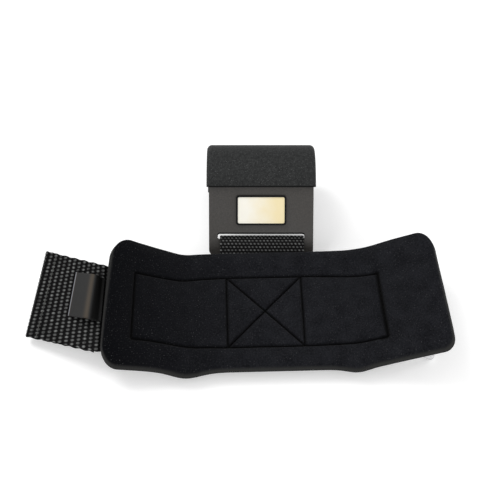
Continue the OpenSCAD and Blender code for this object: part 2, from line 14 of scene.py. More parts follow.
import bpy
import numpy as np
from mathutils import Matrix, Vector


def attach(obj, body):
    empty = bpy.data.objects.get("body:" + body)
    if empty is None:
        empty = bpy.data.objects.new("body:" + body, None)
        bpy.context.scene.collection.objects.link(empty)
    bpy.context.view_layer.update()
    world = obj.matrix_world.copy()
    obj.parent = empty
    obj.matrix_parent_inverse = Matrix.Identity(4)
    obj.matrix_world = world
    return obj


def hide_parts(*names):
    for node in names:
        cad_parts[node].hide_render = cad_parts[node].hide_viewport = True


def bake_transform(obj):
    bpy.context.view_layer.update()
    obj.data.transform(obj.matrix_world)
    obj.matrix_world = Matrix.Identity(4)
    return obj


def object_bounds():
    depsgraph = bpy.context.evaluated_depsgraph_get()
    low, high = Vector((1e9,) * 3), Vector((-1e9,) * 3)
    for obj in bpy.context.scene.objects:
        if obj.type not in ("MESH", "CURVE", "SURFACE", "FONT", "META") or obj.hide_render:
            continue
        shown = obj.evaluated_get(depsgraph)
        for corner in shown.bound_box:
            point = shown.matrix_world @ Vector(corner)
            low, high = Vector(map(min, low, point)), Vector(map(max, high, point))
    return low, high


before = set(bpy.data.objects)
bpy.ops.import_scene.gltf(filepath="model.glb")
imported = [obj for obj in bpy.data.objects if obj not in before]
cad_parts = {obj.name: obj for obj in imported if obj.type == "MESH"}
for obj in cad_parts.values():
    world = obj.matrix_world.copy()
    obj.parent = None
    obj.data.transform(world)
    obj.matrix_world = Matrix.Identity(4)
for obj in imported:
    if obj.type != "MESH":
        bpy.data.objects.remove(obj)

CAD_LOW, CAD_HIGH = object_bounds()
LOG = logging.getLogger("lifting_hook")
MM = 0.001  # metres in a millimetre
MAP_SCALE = 0.1  # map units, which are centimetres, in a millimetre
TOUCH = 1e-6  # lengths that differ by less are the same
FLOOR_GAP = 0.05
X_AXIS = (1.0, 0.0, 0.0)
SELVAGE = 0.8  # width of the rounded edge of a webbing
SELVAGE_STOPS = (0.0, 0.08, 0.25, 0.5)
NOISE_SPAN = (0.3, 0.7)  # where nearly all values of a noise lie
MOTTLE_SPAN = (0.35, 0.65)  # the same, with more contrast
Array = np.ndarray
Values = Array | float  # one number stands for an array of it
Colour = tuple[float, float, float]
Pair = tuple[float, float]
Material = bpy.types.Material
Socket = bpy.types.NodeSocket


class Side(Enum):
    """The two wings of the cuff."""

    LEFT = -1
    RIGHT = 1


class Face(Enum):
    """Which faces of a ribbon show their weave as relief."""

    BOTH = "both"
    OUTER = "outer"


# ---- small maths


def ramp(v: Array) -> Array:
    """Smooth step from 0 to 1: three c squared less two c cubed, for c = v kept in 0..1."""
    c = np.clip(v, 0.0, 1.0)
    return c * c * (3.0 - 2.0 * c)


def rounded(inset: Array, width: Values) -> Array:
    """Quarter circle: 0 at an edge, and 1 from a width in from it."""
    return np.sqrt(np.clip(1 - (1 - np.clip(inset / width, 0, 1)) ** 2, 0, 1))


def unit(v: Array) -> Array:
    """Vectors along the last axis, each divided by its length."""
    return v / np.maximum(np.linalg.norm(v, axis=-1, keepdims=True), 1e-12)


def grid_normals(points: Array) -> Array:
    """Unit normals of a grid of points: across-direction crossed with along-direction."""
    return unit(np.cross(np.gradient(points, axis=1), np.gradient(points, axis=0)))


def even(start: float, stop: float, step: float) -> Array:
    """Stops from start to stop, about step apart."""
    return np.linspace(start, stop, max(2, int(round(abs(stop - start) / step)) + 1))


def travelled(line: Array) -> Array:
    """Length along a line of points: the running sum of its steps, from 0."""
    return np.concatenate([[0], np.cumsum(np.linalg.norm(np.diff(line, axis=0), axis=1))])


def softened(rows: Array, times: int) -> Array:
    """Rows averaged with their neighbours: a quarter, a half, a quarter; the ends stay.

    Args:
        rows: Rows of points, which are changed.
        times: How often they are averaged.

    Returns:
        The same rows.
    """
    for _ in range(times):
        rows[1:-1] = (rows[:-2] + 2 * rows[1:-1] + rows[2:]) / 4
    return rows


def sampled(stops: Array, length: Array, line: Array) -> Array:
    """Points of a line at given lengths along it, between its own points."""
    return np.stack([np.interp(stops, length, column) for column in line.T], -1)


def smooth_line(corners: Array, step: float) -> tuple[Array, Array]:
    """Even stops along a line of corners, with the corners softened.

    Args:
        corners: Points of the rough line.
        step: Distance between the stops.

    Returns:
        The points, and the length along the rough line at each.
    """
    length = travelled(corners)
    stops = even(0, float(length[-1]), step)
    return softened(sampled(stops, length, corners), 3), stops


def cubic_weights(coarse: Array, fine: Array) -> Array:
    """Matrix that carries values on evenly spaced stops to finer ones.

    Each fine stop takes its four nearest coarse values with Catmull-Rom weights; past the
    ends the nearest value is repeated.

    Args:
        coarse: Evenly spaced stops.
        fine: Stops at which values are wanted.

    Returns:
        One row of weights per fine stop.
    """
    last = len(coarse) - 1
    x = np.clip((fine - coarse[0]) / (coarse[-1] - coarse[0]) * last, 0, last)
    cell = np.minimum(x.astype(int), last - 1)
    f = x - cell
    shares = (
        -0.5 * f + f**2 - 0.5 * f**3,
        1 - 2.5 * f**2 + 1.5 * f**3,
        0.5 * f + 2 * f**2 - 1.5 * f**3,
        -0.5 * f**2 + 0.5 * f**3,
    )
    weights = np.zeros((len(fine), len(coarse)))
    rows = np.arange(len(fine))
    for shift, share in zip((-1, 0, 1, 2), shares):
        np.add.at(weights, (rows, np.clip(cell + shift, 0, last)), share)
    return weights


# ---- meshes


@dataclass
class Skin:
    """Vertices, quads and map coordinates of one closed or open surface.

    flat marks faces shaded flat, normals fixes the shading of its vertices where they are
    not zero, and relief runs from 0 in the deepest places to 1 on the highest.
    """

    points: Array
    quads: Array
    uv: Array
    flat: Optional[Array] = None
    normals: Optional[Array] = None
    relief: Optional[Array] = None

    def make(self, name: str, material: Material) -> bpy.types.Object:
        """Put the skin into a mesh object at the origin, in metres.

        Args:
            name: Name of the object.
            material: Its only material.

        Returns:
            The linked object.
        """
        mesh = bpy.data.meshes.new(name)
        mesh.vertices.add(len(self.points))
        mesh.vertices.foreach_set("co", (self.points * MM).astype(np.float32).ravel())
        quads = self.quads.astype(np.int32)
        mesh.loops.add(quads.size)
        mesh.loops.foreach_set("vertex_index", quads.ravel())
        mesh.polygons.add(len(quads))
        mesh.polygons.foreach_set("loop_start", np.arange(0, quads.size, 4, dtype=np.int32))
        smooth = np.ones(len(quads), bool) if self.flat is None else ~self.flat
        mesh.polygons.foreach_set("use_smooth", smooth)
        layer = mesh.uv_layers.new(name="UVMap")
        flat_map = self.uv[quads.ravel()] * MAP_SCALE
        layer.data.foreach_set("uv", flat_map.astype(np.float32).ravel())
        if self.relief is not None:
            values = mesh.attributes.new("relief", "FLOAT", "POINT")
            values.data.foreach_set("value", self.relief.astype(np.float32).ravel())
        mesh.materials.append(material)
        mesh.update(calc_edges=True)
        mesh.validate()
        if self.normals is not None:
            mesh.normals_split_custom_set_from_vertices(self.normals)
        obj = bpy.data.objects.new(name, mesh)
        bpy.context.scene.collection.objects.link(obj)
        return obj


def grid_quads(rows: int, cols: int, start: int = 0, flip: bool = False) -> Array:
    """Quads of a grid whose point (i, j) is vertex start + i cols + j.

    Args:
        rows: Number of rows of points.
        cols: Number of points in a row.
        start: Index of the first vertex.
        flip: Turn the faces over.

    Returns:
        One row of four indices per face.
    """
    index = start + np.arange(rows * cols).reshape(rows, cols)
    corners = [index[:-1, :-1], index[:-1, 1:], index[1:, 1:], index[1:, :-1]]
    quads = np.stack([c.ravel() for c in corners], -1)
    return quads[:, ::-1] if flip else quads


def pillow(upper: Array, lower: Array, uv: Array, flat_ends: Sequence[bool],
           relief: Optional[Array] = None, normals: Optional[Array] = None) -> Skin:
    """Closed skin from two grids; a band of wall joins their four borders.

    The upper grid keeps its order and the lower one is turned over. Each border's wall is a
    strip of quads between the two grids. Where the volume, the sum of a . (b x c + c x d)
    over the quads, is negative, all faces are turned over.

    Args:
        upper: Grid of points of the upper face, rows along the length.
        lower: Grid of the lower face, of the same shape.
        uv: Map coordinates of both grids.
        flat_ends: Whether the first and the last row's walls are shaded flat.
        relief: Height share on the upper and the lower grid.
        normals: Fixed normals on the upper and the lower grid.

    Returns:
        The closed skin.
    """
    rows, cols = upper.shape[:2]
    count = rows * cols
    index = np.arange(count).reshape(rows, cols)
    walls, flats = [], []
    borders = (
        (index[0], flat_ends[0], True),
        (index[-1], flat_ends[1], False),
        (index[:, 0], False, False),
        (index[:, -1], False, True),
    )
    for line, is_flat, turn in borders:
        wall = np.stack([line[:-1], line[1:], line[1:] + count, line[:-1] + count], -1)
        walls.append(wall if turn else wall[:, ::-1])
        flats.append(np.full(len(wall), is_flat))
    sheets = [grid_quads(rows, cols, 0, True), grid_quads(rows, cols, count)]
    flats = [np.zeros(len(s), bool) for s in sheets] + flats
    points = np.vstack([upper.reshape(-1, 3), lower.reshape(-1, 3)])
    quads = np.vstack(sheets + walls)
    a, b, c, d = (points[quads[:, i]] for i in range(4))
    inside_out = np.sum(a * (np.cross(b, c) + np.cross(c, d))) < 0
    return Skin(
        points,
        quads[:, ::-1] if inside_out else quads,
        np.vstack([uv.reshape(-1, 2), uv.reshape(-1, 2)]),
        np.concatenate(flats),
        None if normals is None else normals.reshape(-1, 3),
        None if relief is None else relief.ravel(),
    )


# ---- finishes


class Graph:
    """Short calls for building one node material."""

    MIX_SLOTS = (6, 7)
    MIX_RESULT = 2

    def __init__(self, name: str) -> None:
        """Start an empty material with a surface shader and its output.

        Args:
            name: Name of the material.
        """
        self.material = bpy.data.materials.new(name)
        self.material.use_nodes = True
        self.tree = self.material.node_tree
        self.tree.nodes.clear()
        self.shader = self.node("ShaderNodeBsdfPrincipled")
        output = self.node("ShaderNodeOutputMaterial")
        self.tree.links.new(self.shader.outputs["BSDF"], output.inputs["Surface"])
        self.coords = self.node("ShaderNodeTexCoord")

    def node(self, kind: str, **settings: object) -> bpy.types.Node:
        """Add a node.

        Args:
            kind: Blender's name of the node type.
            **settings: Attributes to set on it.

        Returns:
            The new node.
        """
        made = self.tree.nodes.new(kind)
        for key, value in settings.items():
            setattr(made, key, value)
        return made

    def put(self, socket: Socket, value: object) -> None:
        """Link an input to value if that is a socket, and otherwise set it.

        Args:
            socket: Input of a node.
            value: A number, a colour or another node's output.
        """
        if isinstance(value, Socket):
            self.tree.links.new(value, socket)
        else:
            socket.default_value = value

    def fill(self, made: bpy.types.Node, **inputs: object) -> None:
        """Set or link inputs of a node, with _ for the spaces in their names."""
        for key, value in inputs.items():
            self.put(made.inputs[key.replace("_", " ")], value)

    def shade(self, **inputs: object) -> None:
        """Set or link inputs of the surface shader."""
        self.fill(self.shader, **inputs)

    def place(self, source: str) -> Socket:
        """Coordinates: "Object", in metres, or "UV", in centimetres along the cloth."""
        return self.coords.outputs[source]

    def noise(self, vector: Socket, scale: float, detail: float = 2.0,
              roughness: float = 0.5) -> Socket:
        """Noise value.

        Args:
            vector: Coordinates.
            scale: Scale of the noise.
            detail: Octaves.
            roughness: Share of each further octave.

        Returns:
            The value socket.
        """
        made = self.node("ShaderNodeTexNoise")
        self.fill(made, Vector=vector, Scale=scale, Detail=detail, Roughness=roughness)
        return made.outputs["Fac"]

    def voronoi(self, vector: Socket, scale: float) -> Socket:
        """Distance to the nearest cell point.

        Args:
            vector: Coordinates.
            scale: Scale of the cells.

        Returns:
            The value socket.
        """
        made = self.node("ShaderNodeTexVoronoi")
        self.fill(made, Vector=vector, Scale=scale)
        return made.outputs["Distance"]

    def relief(self) -> Socket:
        """The mesh's own relief, from 0 in the deepest places to 1 on the highest."""
        return self.node("ShaderNodeAttribute", attribute_name="relief").outputs["Fac"]

    def along(self, vector: Socket, direction: Sequence[float]) -> Socket:
        """Distance along a direction: the dot product of the place and the direction.

        Args:
            vector: Coordinates.
            direction: Unit direction.

        Returns:
            The value socket.
        """
        made = self.node("ShaderNodeVectorMath", operation="DOT_PRODUCT")
        self.put(made.inputs[0], vector)
        made.inputs[1].default_value = tuple(direction)
        return made.outputs["Value"]

    def wave(self, vector: Socket, scale: float, axis: str, distortion: float) -> Socket:
        """Sine bands.

        Args:
            vector: Coordinates.
            scale: Scale of the bands.
            axis: "X", "Y" or "DIAGONAL".
            distortion: How far noise bends them.

        Returns:
            The value socket.
        """
        made = self.node("ShaderNodeTexWave", bands_direction=axis)
        self.fill(made, Vector=vector, Scale=scale, Distortion=distortion)
        return made.outputs["Fac"]

    def maths(self, operation: str, a: object, b: object) -> Socket:
        """Result of one arithmetic operation on two values or sockets.

        Args:
            operation: Blender's name of it.
            a: First number or socket.
            b: Second one.

        Returns:
            The value socket.
        """
        made = self.node("ShaderNodeMath", operation=operation)
        self.put(made.inputs[0], a)
        self.put(made.inputs[1], b)
        return made.outputs[0]

    def remap(self, value: Socket, low: float, high: float,
              to_low: float = 0.0, to_high: float = 1.0) -> Socket:
        """Value moved linearly from one range to another, and kept in that one.

        Args:
            value: Value socket.
            low: Where the old range starts.
            high: Where it ends.
            to_low: Where the new range starts.
            to_high: Where it ends.

        Returns:
            The value socket.
        """
        made = self.node("ShaderNodeMapRange")
        self.fill(made, Value=value, From_Min=low, From_Max=high, To_Min=to_low,
                  To_Max=to_high)
        return made.outputs["Result"]

    def mix(self, factor: Socket, a: object, b: object) -> Socket:
        """Colour a where factor is 0 and b where it is 1.

        Args:
            factor: Value socket.
            a: Colour, or the socket of one.
            b: Colour, or the socket of one.

        Returns:
            The colour socket.
        """
        made = self.node("ShaderNodeMix", data_type="RGBA")
        self.put(made.inputs[0], factor)
        for number, colour in zip(self.MIX_SLOTS, (a, b)):
            opaque = colour if isinstance(colour, Socket) else (*colour, 1.0)
            self.put(made.inputs[number], opaque)
        return made.outputs[self.MIX_RESULT]

    def bump(self, height: Socket, distance: float, strength: float = 0.8) -> None:
        """Let a height change the normals; further calls stack on it.

        Args:
            height: Value socket, 0 to 1.
            distance: Height of 1, in metres.
            strength: Share of the effect.
        """
        made = self.node("ShaderNodeBump")
        self.fill(made, Strength=strength, Distance=distance, Height=height)
        previous = self.shader.inputs["Normal"]
        if previous.is_linked:
            self.put(made.inputs["Normal"], previous.links[0].from_socket)
        self.put(previous, made.outputs["Normal"])


@dataclass(frozen=True)
class Finish(ABC):
    """A finish: the name of its material, and the way to paint it."""

    name: str

    def build(self) -> Material:
        """Make the material and paint it.

        Returns:
            The material.
        """
        g = Graph(self.name)
        self.paint(g)
        return g.material

    @abstractmethod
    def paint(self, g: Graph) -> None:
        """Fill the material's graph g in this finish's own way."""


@dataclass(frozen=True)
class Jersey(Finish):
    """Black knitted jersey over foam: heathered loops, lint, painted light on its edges, and
    painted shade in its seams and towards its left end.

    The loops are loop_pitch millimetres apart.
    """

    name: str = "pad_jersey"
    base: Colour = (0.0014, 0.0016, 0.0024)
    worn: Colour = (0.0140, 0.0145, 0.0176)
    # edge is painted light on the side walls, seam is painted shade in the seams
    edge: Colour = (0.0190, 0.0190, 0.0186)
    seam: Colour = (0.0008, 0.0008, 0.0009)
    speck: Colour = (0.07, 0.07, 0.072)
    loop_pitch: float = 0.55
    row_ratio: float = 1.4
    sheen: float = 0.03
    # painted shade along X: darker towards the left, the tail's end
    left_shade_from: Pair = (-0.085, 0.0)
    left_shade_share: Pair = (0.05, 1.22)
    cloud_scale: float = 1.1
    heather_scale: float = 9.0
    heather_span: Pair = (0.36, 0.66)
    heather_share: float = 0.7
    fleck_scale: float = 17.0
    fleck_span: Pair = (0.66, 0.78)
    loop_depth: float = 0.0001
    loop_bend: float = 0.4
    fuzz_scale: float = 12.0
    fuzz_depth: float = 0.00022

    def paint(self, g: Graph) -> None:
        """Knit loops are two crossed bands, heather is noise, lint is noise near its top.

        Painted shade darkens the cloth towards the tail's end, to the left along X.
        Below 0.5 the relief leads to painted shade in the seams, and above it to painted light
        on the side walls at the edges.

        Args:
            g: The material's graph.
        """
        uv = g.place("UV")
        cloudy = g.remap(g.noise(uv, self.cloud_scale), *NOISE_SPAN, 0.0,
                         1 - self.heather_share)
        heather = g.remap(g.noise(uv, self.heather_scale, detail=4, roughness=0.85),
                          *self.heather_span)
        fleck = g.remap(g.noise(uv, self.fleck_scale, detail=1), *self.fleck_span)
        # painted shade: the cloth darker towards the left
        left_shade = g.remap(g.along(g.place("Object"), X_AXIS), *self.left_shade_from, *self.left_shade_share)
        loops_up = g.maths("ADD", cloudy, g.maths("MULTIPLY", heather, self.heather_share))
        face = g.mix(g.maths("MULTIPLY", loops_up, left_shade), self.base, self.worn)
        high = g.relief()
        # painted shade in the seams, where the relief is low
        tone = g.mix(g.remap(high, 0.0, 0.5), self.seam, g.mix(fleck, face, self.speck))
        # painted light: the side walls paler, where the relief is high
        g.shade(Base_Color=g.mix(g.remap(high, 0.5, 1.0), tone, self.edge), Roughness=0.92,
                Sheen_Weight=self.sheen, Sheen_Roughness=0.5, Specular_IOR_Level=0.05)
        turns = 1.0 / (MAP_SCALE * self.loop_pitch * math.tau)
        loops = g.maths("MULTIPLY", g.wave(uv, turns, "X", self.loop_bend),
                        g.wave(uv, turns * self.row_ratio, "Y", self.loop_bend))
        g.bump(loops, self.loop_depth)
        g.bump(g.noise(uv, self.fuzz_scale, detail=3), self.fuzz_depth, strength=0.7)


@dataclass(frozen=True)
class Webbing(Finish):
    """Black nylon webbing: painted shade in its gaps, painted highlights on its knots' crowns."""

    name: str = "nylon_webbing"
    # gap is painted shade between the knots, crown a painted highlight on them
    gap: Colour = (0.0010, 0.0010, 0.0011)
    yarn: Colour = (0.0024, 0.0024, 0.0025)
    crown: Colour = (0.235, 0.24, 0.235)
    gap_shade_span: Pair = (0.2, 0.6)
    highlight_span: Pair = (0.45, 1.0)
    highlight_power: float = 2.4
    patch_scale: float = 5.0
    patch_least: float = 0.12
    roughness: float = 0.42
    filament_scale: float = 8.0
    filament_bend: float = 1.5
    filament_depth: float = 0.00005

    def paint(self, g: Graph) -> None:
        """The relief picks painted shade in the gaps and painted highlights on the crowns, noise
        varies the highlights, and fine bands are filaments.

        Args:
            g: The material's graph.
        """
        uv = g.place("UV")
        knot = g.relief()
        # painted shade in the gaps between the knots
        low = g.mix(g.remap(knot, *self.gap_shade_span), self.gap, self.yarn)
        vary = g.remap(g.noise(uv, self.patch_scale), *NOISE_SPAN, self.patch_least, 1.0)
        # painted highlight on the knots' crowns, its strength varied by noise
        rise = g.maths("POWER", g.remap(knot, *self.highlight_span), self.highlight_power)
        top = g.maths("MULTIPLY", rise, vary)
        g.shade(Base_Color=g.mix(top, low, self.crown), Roughness=self.roughness,
                Specular_IOR_Level=0.07)
        g.bump(g.wave(uv, self.filament_scale, "Y", self.filament_bend), self.filament_depth)


@dataclass(frozen=True)
class Rubber(Finish):
    """Matt black rubber with a fine pebbled grain and a few bright specks.

    lean is the hook's, in radians.
    """

    name: str = "cover_rubber"
    base: Colour = (0.0135, 0.0142, 0.0145)
    pale: Colour = (0.026, 0.027, 0.027)
    speck: Colour = (0.09, 0.092, 0.093)
    # under: painted shade on the lower edge and on walls that look down the plate
    under: Colour = (0.0009, 0.0009, 0.0010)
    lean: float = 0.0
    lip: float = 0.0011
    lip_solid: float = 0.7
    front: float = 0.019
    front_fade: float = 0.001
    grain_scale: float = 2400.0
    grain_depth: float = 0.00008
    mottle_scale: float = 700.0
    fleck_scale: float = 2300.0
    fleck_span: Pair = (0.7, 0.8)
    dent_scale: float = 900.0
    dent_depth: float = 0.0001

    def paint(self, g: Graph) -> None:
        """Grain is small cells on object coordinates, specks are noise near its top.

        Painted shade darkens the rolled lower edge, less than lip above the cover's end on its
        front leg, and the walls that look down the plate.

        Args:
            g: The material's graph.
        """
        at = g.place("Object")
        mottle = g.remap(g.noise(at, self.mottle_scale, detail=3), *MOTTLE_SPAN)
        fleck = g.remap(g.noise(at, self.fleck_scale, detail=0), *self.fleck_span)
        skin = g.mix(fleck, g.mix(mottle, self.base, self.pale), self.speck)
        c, s = math.cos(self.lean), math.sin(self.lean)
        above = g.remap(g.along(at, (0, c, s)), self.lip_solid * self.lip, self.lip)
        behind = g.remap(g.along(at, (0, s, -c)), -self.front, self.front_fade - self.front)
        # painted shade: the lower edge on the front leg and walls that look down the plate
        clear = g.maths("MULTIPLY", g.relief(), g.maths("MAXIMUM", above, behind))
        g.shade(Base_Color=g.mix(clear, self.under, skin), Roughness=0.7,
                Specular_IOR_Level=0.16)
        g.bump(g.voronoi(at, self.grain_scale), self.grain_depth, strength=0.7)
        g.bump(g.noise(at, self.dent_scale), self.dent_depth, strength=0.5)


@dataclass(frozen=True)
class PowderCoat(Finish):
    """Satin warm-grey powder coat with its fine orange-peel skin."""

    name: str = "powder_coat"
    base: Colour = (0.031, 0.0285, 0.0265)
    warm: Colour = (0.054, 0.0495, 0.0445)
    # edge: painted shade on walls that look down the plate
    edge: Colour = (0.0012, 0.0012, 0.0012)
    slow_scale: float = 45.0
    slow_share: float = 0.3
    fast_scale: float = 1100.0
    grain_depth: float = 0.00007
    peel_scale: float = 260.0
    peel_depth: float = 0.00012
    rough: Pair = (0.46, 0.56)

    def paint(self, g: Graph) -> None:
        """Slow and fast noise vary the colour, the roughness and the skin, and walls that look
        down the plate get painted shade.

        Args:
            g: The material's graph.
        """
        at = g.place("Object")
        slow = g.remap(g.noise(at, self.slow_scale, detail=3), *MOTTLE_SPAN)
        fast = g.noise(at, self.fast_scale)
        blend = g.maths("ADD", g.maths("MULTIPLY", slow, self.slow_share),
                        g.remap(fast, *NOISE_SPAN, 0.0, 1 - self.slow_share))
        coat = g.mix(blend, self.base, self.warm)
        # painted shade where the relief is 0
        g.shade(Base_Color=g.mix(g.relief(), self.edge, coat),
                Roughness=g.remap(slow, 0.0, 1.0, *self.rough), Specular_IOR_Level=0.34)
        g.bump(fast, self.grain_depth, strength=0.6)
        g.bump(g.noise(at, self.peel_scale, detail=1), self.peel_depth, strength=0.4)


@dataclass(frozen=True)
class Gloss(Finish):
    """Glossy moulded plastic, with a slow change from one tone to another along X."""

    low: Colour
    high: Colour
    roughness: float = 0.22
    coat: float = 0.35
    specular: float = 0.5
    spread: float = 0.012
    wander: float = 0.004
    wander_scale: float = 90.0
    ripple_scale: float = 160.0
    ripple_depth: float = 0.00004

    def paint(self, g: Graph) -> None:
        """The tone follows the X coordinate, broken up by a little noise.

        Args:
            g: The material's graph.
        """
        at = g.place("Object")
        wander = g.remap(g.noise(at, self.wander_scale), *NOISE_SPAN, -self.wander,
                         self.wander)
        along = g.maths("ADD", g.along(at, X_AXIS), wander)
        tone = g.remap(along, -self.spread, self.spread)
        g.shade(Base_Color=g.mix(tone, self.low, self.high), Roughness=self.roughness,
                Coat_Weight=self.coat, Coat_Roughness=0.12, Specular_IOR_Level=self.specular)
        g.bump(g.noise(at, self.ripple_scale), self.ripple_depth, strength=0.5)


@dataclass(frozen=True)
class Steel(Finish):
    """Polished steel wire with faint rubbing marks."""

    name: str = "ring_steel"
    base: Colour = (0.72, 0.72, 0.73)
    dull: Colour = (0.6, 0.6, 0.61)
    cloud_scale: float = 60.0
    rub_scale: float = 700.0
    rub_span: Pair = (0.3, 0.8)
    rub_depth: float = 0.00002
    rough: Pair = (0.12, 0.34)

    def paint(self, g: Graph) -> None:
        """Noise roughens patches of the polish.

        Args:
            g: The material's graph.
        """
        at = g.place("Object")
        rub = g.noise(at, self.rub_scale, detail=4, roughness=0.7)
        cloud = g.noise(at, self.cloud_scale, detail=1)
        g.shade(Base_Color=g.mix(cloud, self.base, self.dull), Metallic=1.0,
                Roughness=g.remap(rub, *self.rub_span, *self.rough))
        g.bump(rub, self.rub_depth, strength=0.5)


@dataclass(frozen=True)
class Satin(Finish):
    """Dark woven satin ribbon, with floats across its width."""

    name: str = "label_satin"
    # root: painted shade; bend: painted sheen; fold: painted highlight
    root: Colour = (0.001, 0.001, 0.001)
    base: Colour = (0.0245, 0.0248, 0.0252)
    float_tone: Colour = (0.034, 0.0333, 0.0326)
    bend: Colour = (0.064, 0.053, 0.042)
    fold: Colour = (0.21, 0.216, 0.235)
    float_scale: float = 9.0
    pick_scale: float = 14.0
    weave_depth: float = 0.00003

    def paint(self, g: Graph) -> None:
        """Fine bands both ways carry the weave, and the relief its painted light and shade.

        The relief is near 0 at the sewn root, painted shade, 0.5 on the flat, 0.75 on the bend,
        a painted sheen, and 1 at the fold, a painted highlight. The ribbon is left blank.

        Args:
            g: The material's graph.
        """
        uv = g.place("UV")
        floats = g.wave(uv, self.float_scale, "X", distortion=0.8)
        high = g.relief()
        flat = g.mix(floats, self.base, self.float_tone)
        # painted shade at the root, painted sheen on the bend, painted highlight at the fold
        tone = g.mix(g.remap(high, 0.0, 0.5), self.root, flat)
        tone = g.mix(g.remap(high, 0.5, 0.75), tone, self.bend)
        g.shade(Base_Color=g.mix(g.remap(high, 0.8, 1.0), tone, self.fold), Roughness=0.42,
                Sheen_Weight=0.01, Specular_IOR_Level=0.1)
        picks = g.wave(uv, self.pick_scale, "Y", distortion=0.5)
        g.bump(g.maths("MULTIPLY", floats, picks), self.weave_depth)


@dataclass(frozen=True)
class Pile(Finish):
    """Closure tape: a brushed loop or hook pile."""

    base: Colour
    scale: float
    height: float
    paler: float = 3.0
    tuft_span: Pair = (0.1, 0.7)

    def paint(self, g: Graph) -> None:
        """Small cells make the tufts.

        Args:
            g: The material's graph.
        """
        tufts = g.voronoi(g.place("UV"), self.scale)
        pale = tuple(self.paler * c for c in self.base)
        tone = g.mix(g.remap(tufts, *self.tuft_span), pale, self.base)
        g.shade(Base_Color=tone, Roughness=0.8, Sheen_Weight=0.2)
        g.bump(tufts, self.height, strength=0.9)


@dataclass(frozen=True)
class Thread(Finish):
    """Twisted black polyester sewing thread."""

    name: str = "sewing_thread"
    base: Colour = (0.0012, 0.0012, 0.0013)
    crown: Colour = (0.003, 0.003, 0.0032)
    twist_scale: float = 900.0
    twist_depth: float = 0.00005

    def paint(self, g: Graph) -> None:
        """Slanted bands give the twist.

        Args:
            g: The material's graph.
        """
        twist = g.wave(g.place("Object"), self.twist_scale, "DIAGONAL", distortion=0.3)
        g.shade(Base_Color=g.mix(twist, self.base, self.crown), Roughness=0.6,
                Specular_IOR_Level=0.1)
        g.bump(twist, self.twist_depth)


@dataclass(frozen=True)
class Paper(Finish):
    """Pale seamless studio floor."""

    name: str = "studio_floor"
    base: Colour = (0.9, 0.9, 0.9)
    tooth: Colour = (0.88, 0.88, 0.88)
    tooth_scale: float = 30.0
    glow: float = 0.3

    def paint(self, g: Graph) -> None:
        """Lit a little from below, like a light table, with a faint tooth.

        Args:
            g: The material's graph.
        """
        mottle = g.noise(g.place("Object"), self.tooth_scale)
        g.shade(Base_Color=g.mix(mottle, self.base, self.tooth), Roughness=0.9,
                Specular_IOR_Level=0.1, Emission_Color=(1.0, 1.0, 1.0, 1.0),
                Emission_Strength=self.glow)


# ---- shared sizes


@dataclass(frozen=True)
class HookSizes:
    """Sizes of the hook that the cuff hangs from; the lean follows from them."""

    seat_r: float = 16.0
    liner_t: float = 1.5
    plate_t: float = 4.0
    cover_t: float = 2.0
    slot_drop: float = 28.0
    slot_h: float = 4.5
    slot_w: float = 53.5
    slot_corner_r: float = 1.75
    rung_h: float = 10.0
    lip_l: float = 6.0
    cover_end: float = 2.0
    loop_play: float = 0.5
    web_t: float = 1.6

    @property
    def rung(self) -> Pair:
        """Rung middle in the hook's own frame, down the plate and out of it."""
        out = self.seat_r + self.liner_t + self.plate_t / 2
        return -(self.slot_drop + self.slot_h + self.rung_h / 2), out

    @property
    def loop_ri(self) -> float:
        """Inner radius of the webbing eye: it clears the rung's corners by the play."""
        return math.hypot(self.rung_h / 2, self.plate_t / 2) + self.loop_play

    @property
    def loop_ro(self) -> float:
        """Outer radius of the webbing eye."""
        return self.loop_ri + self.web_t

    @property
    def tilt(self) -> float:
        """Lean at which the lip's tip and the eye's underside stand on one plane.

        Returns:
            The angle in radians.
        """
        down, out = self.rung
        cover_ro = self.seat_r + self.liner_t + self.plate_t + self.cover_t
        a, b = cover_ro + out, -down - self.lip_l - self.cover_end
        return math.acos(self.loop_ro / math.hypot(a, b)) - math.atan2(b, a)

    def leaning(self, x: Values, up: Values, out: Values) -> Array:
        """Points on the leaning plate.

        Args:
            x: Distance to the right.
            up: Distance up the plate.
            out: Distance out of it.

        Returns:
            Points in the row frame.
        """
        x, up, out = np.broadcast_arrays(x, up, out)
        c, s = math.cos(self.tilt), math.sin(self.tilt)
        return np.stack([x, up * c - out * s, up * s + out * c], -1)

    @property
    def rung_world(self) -> Pair:
        """Y and Z of the rung's middle in the row frame."""
        _, y, z = self.leaning(0.0, *self.rung)
        return y, z


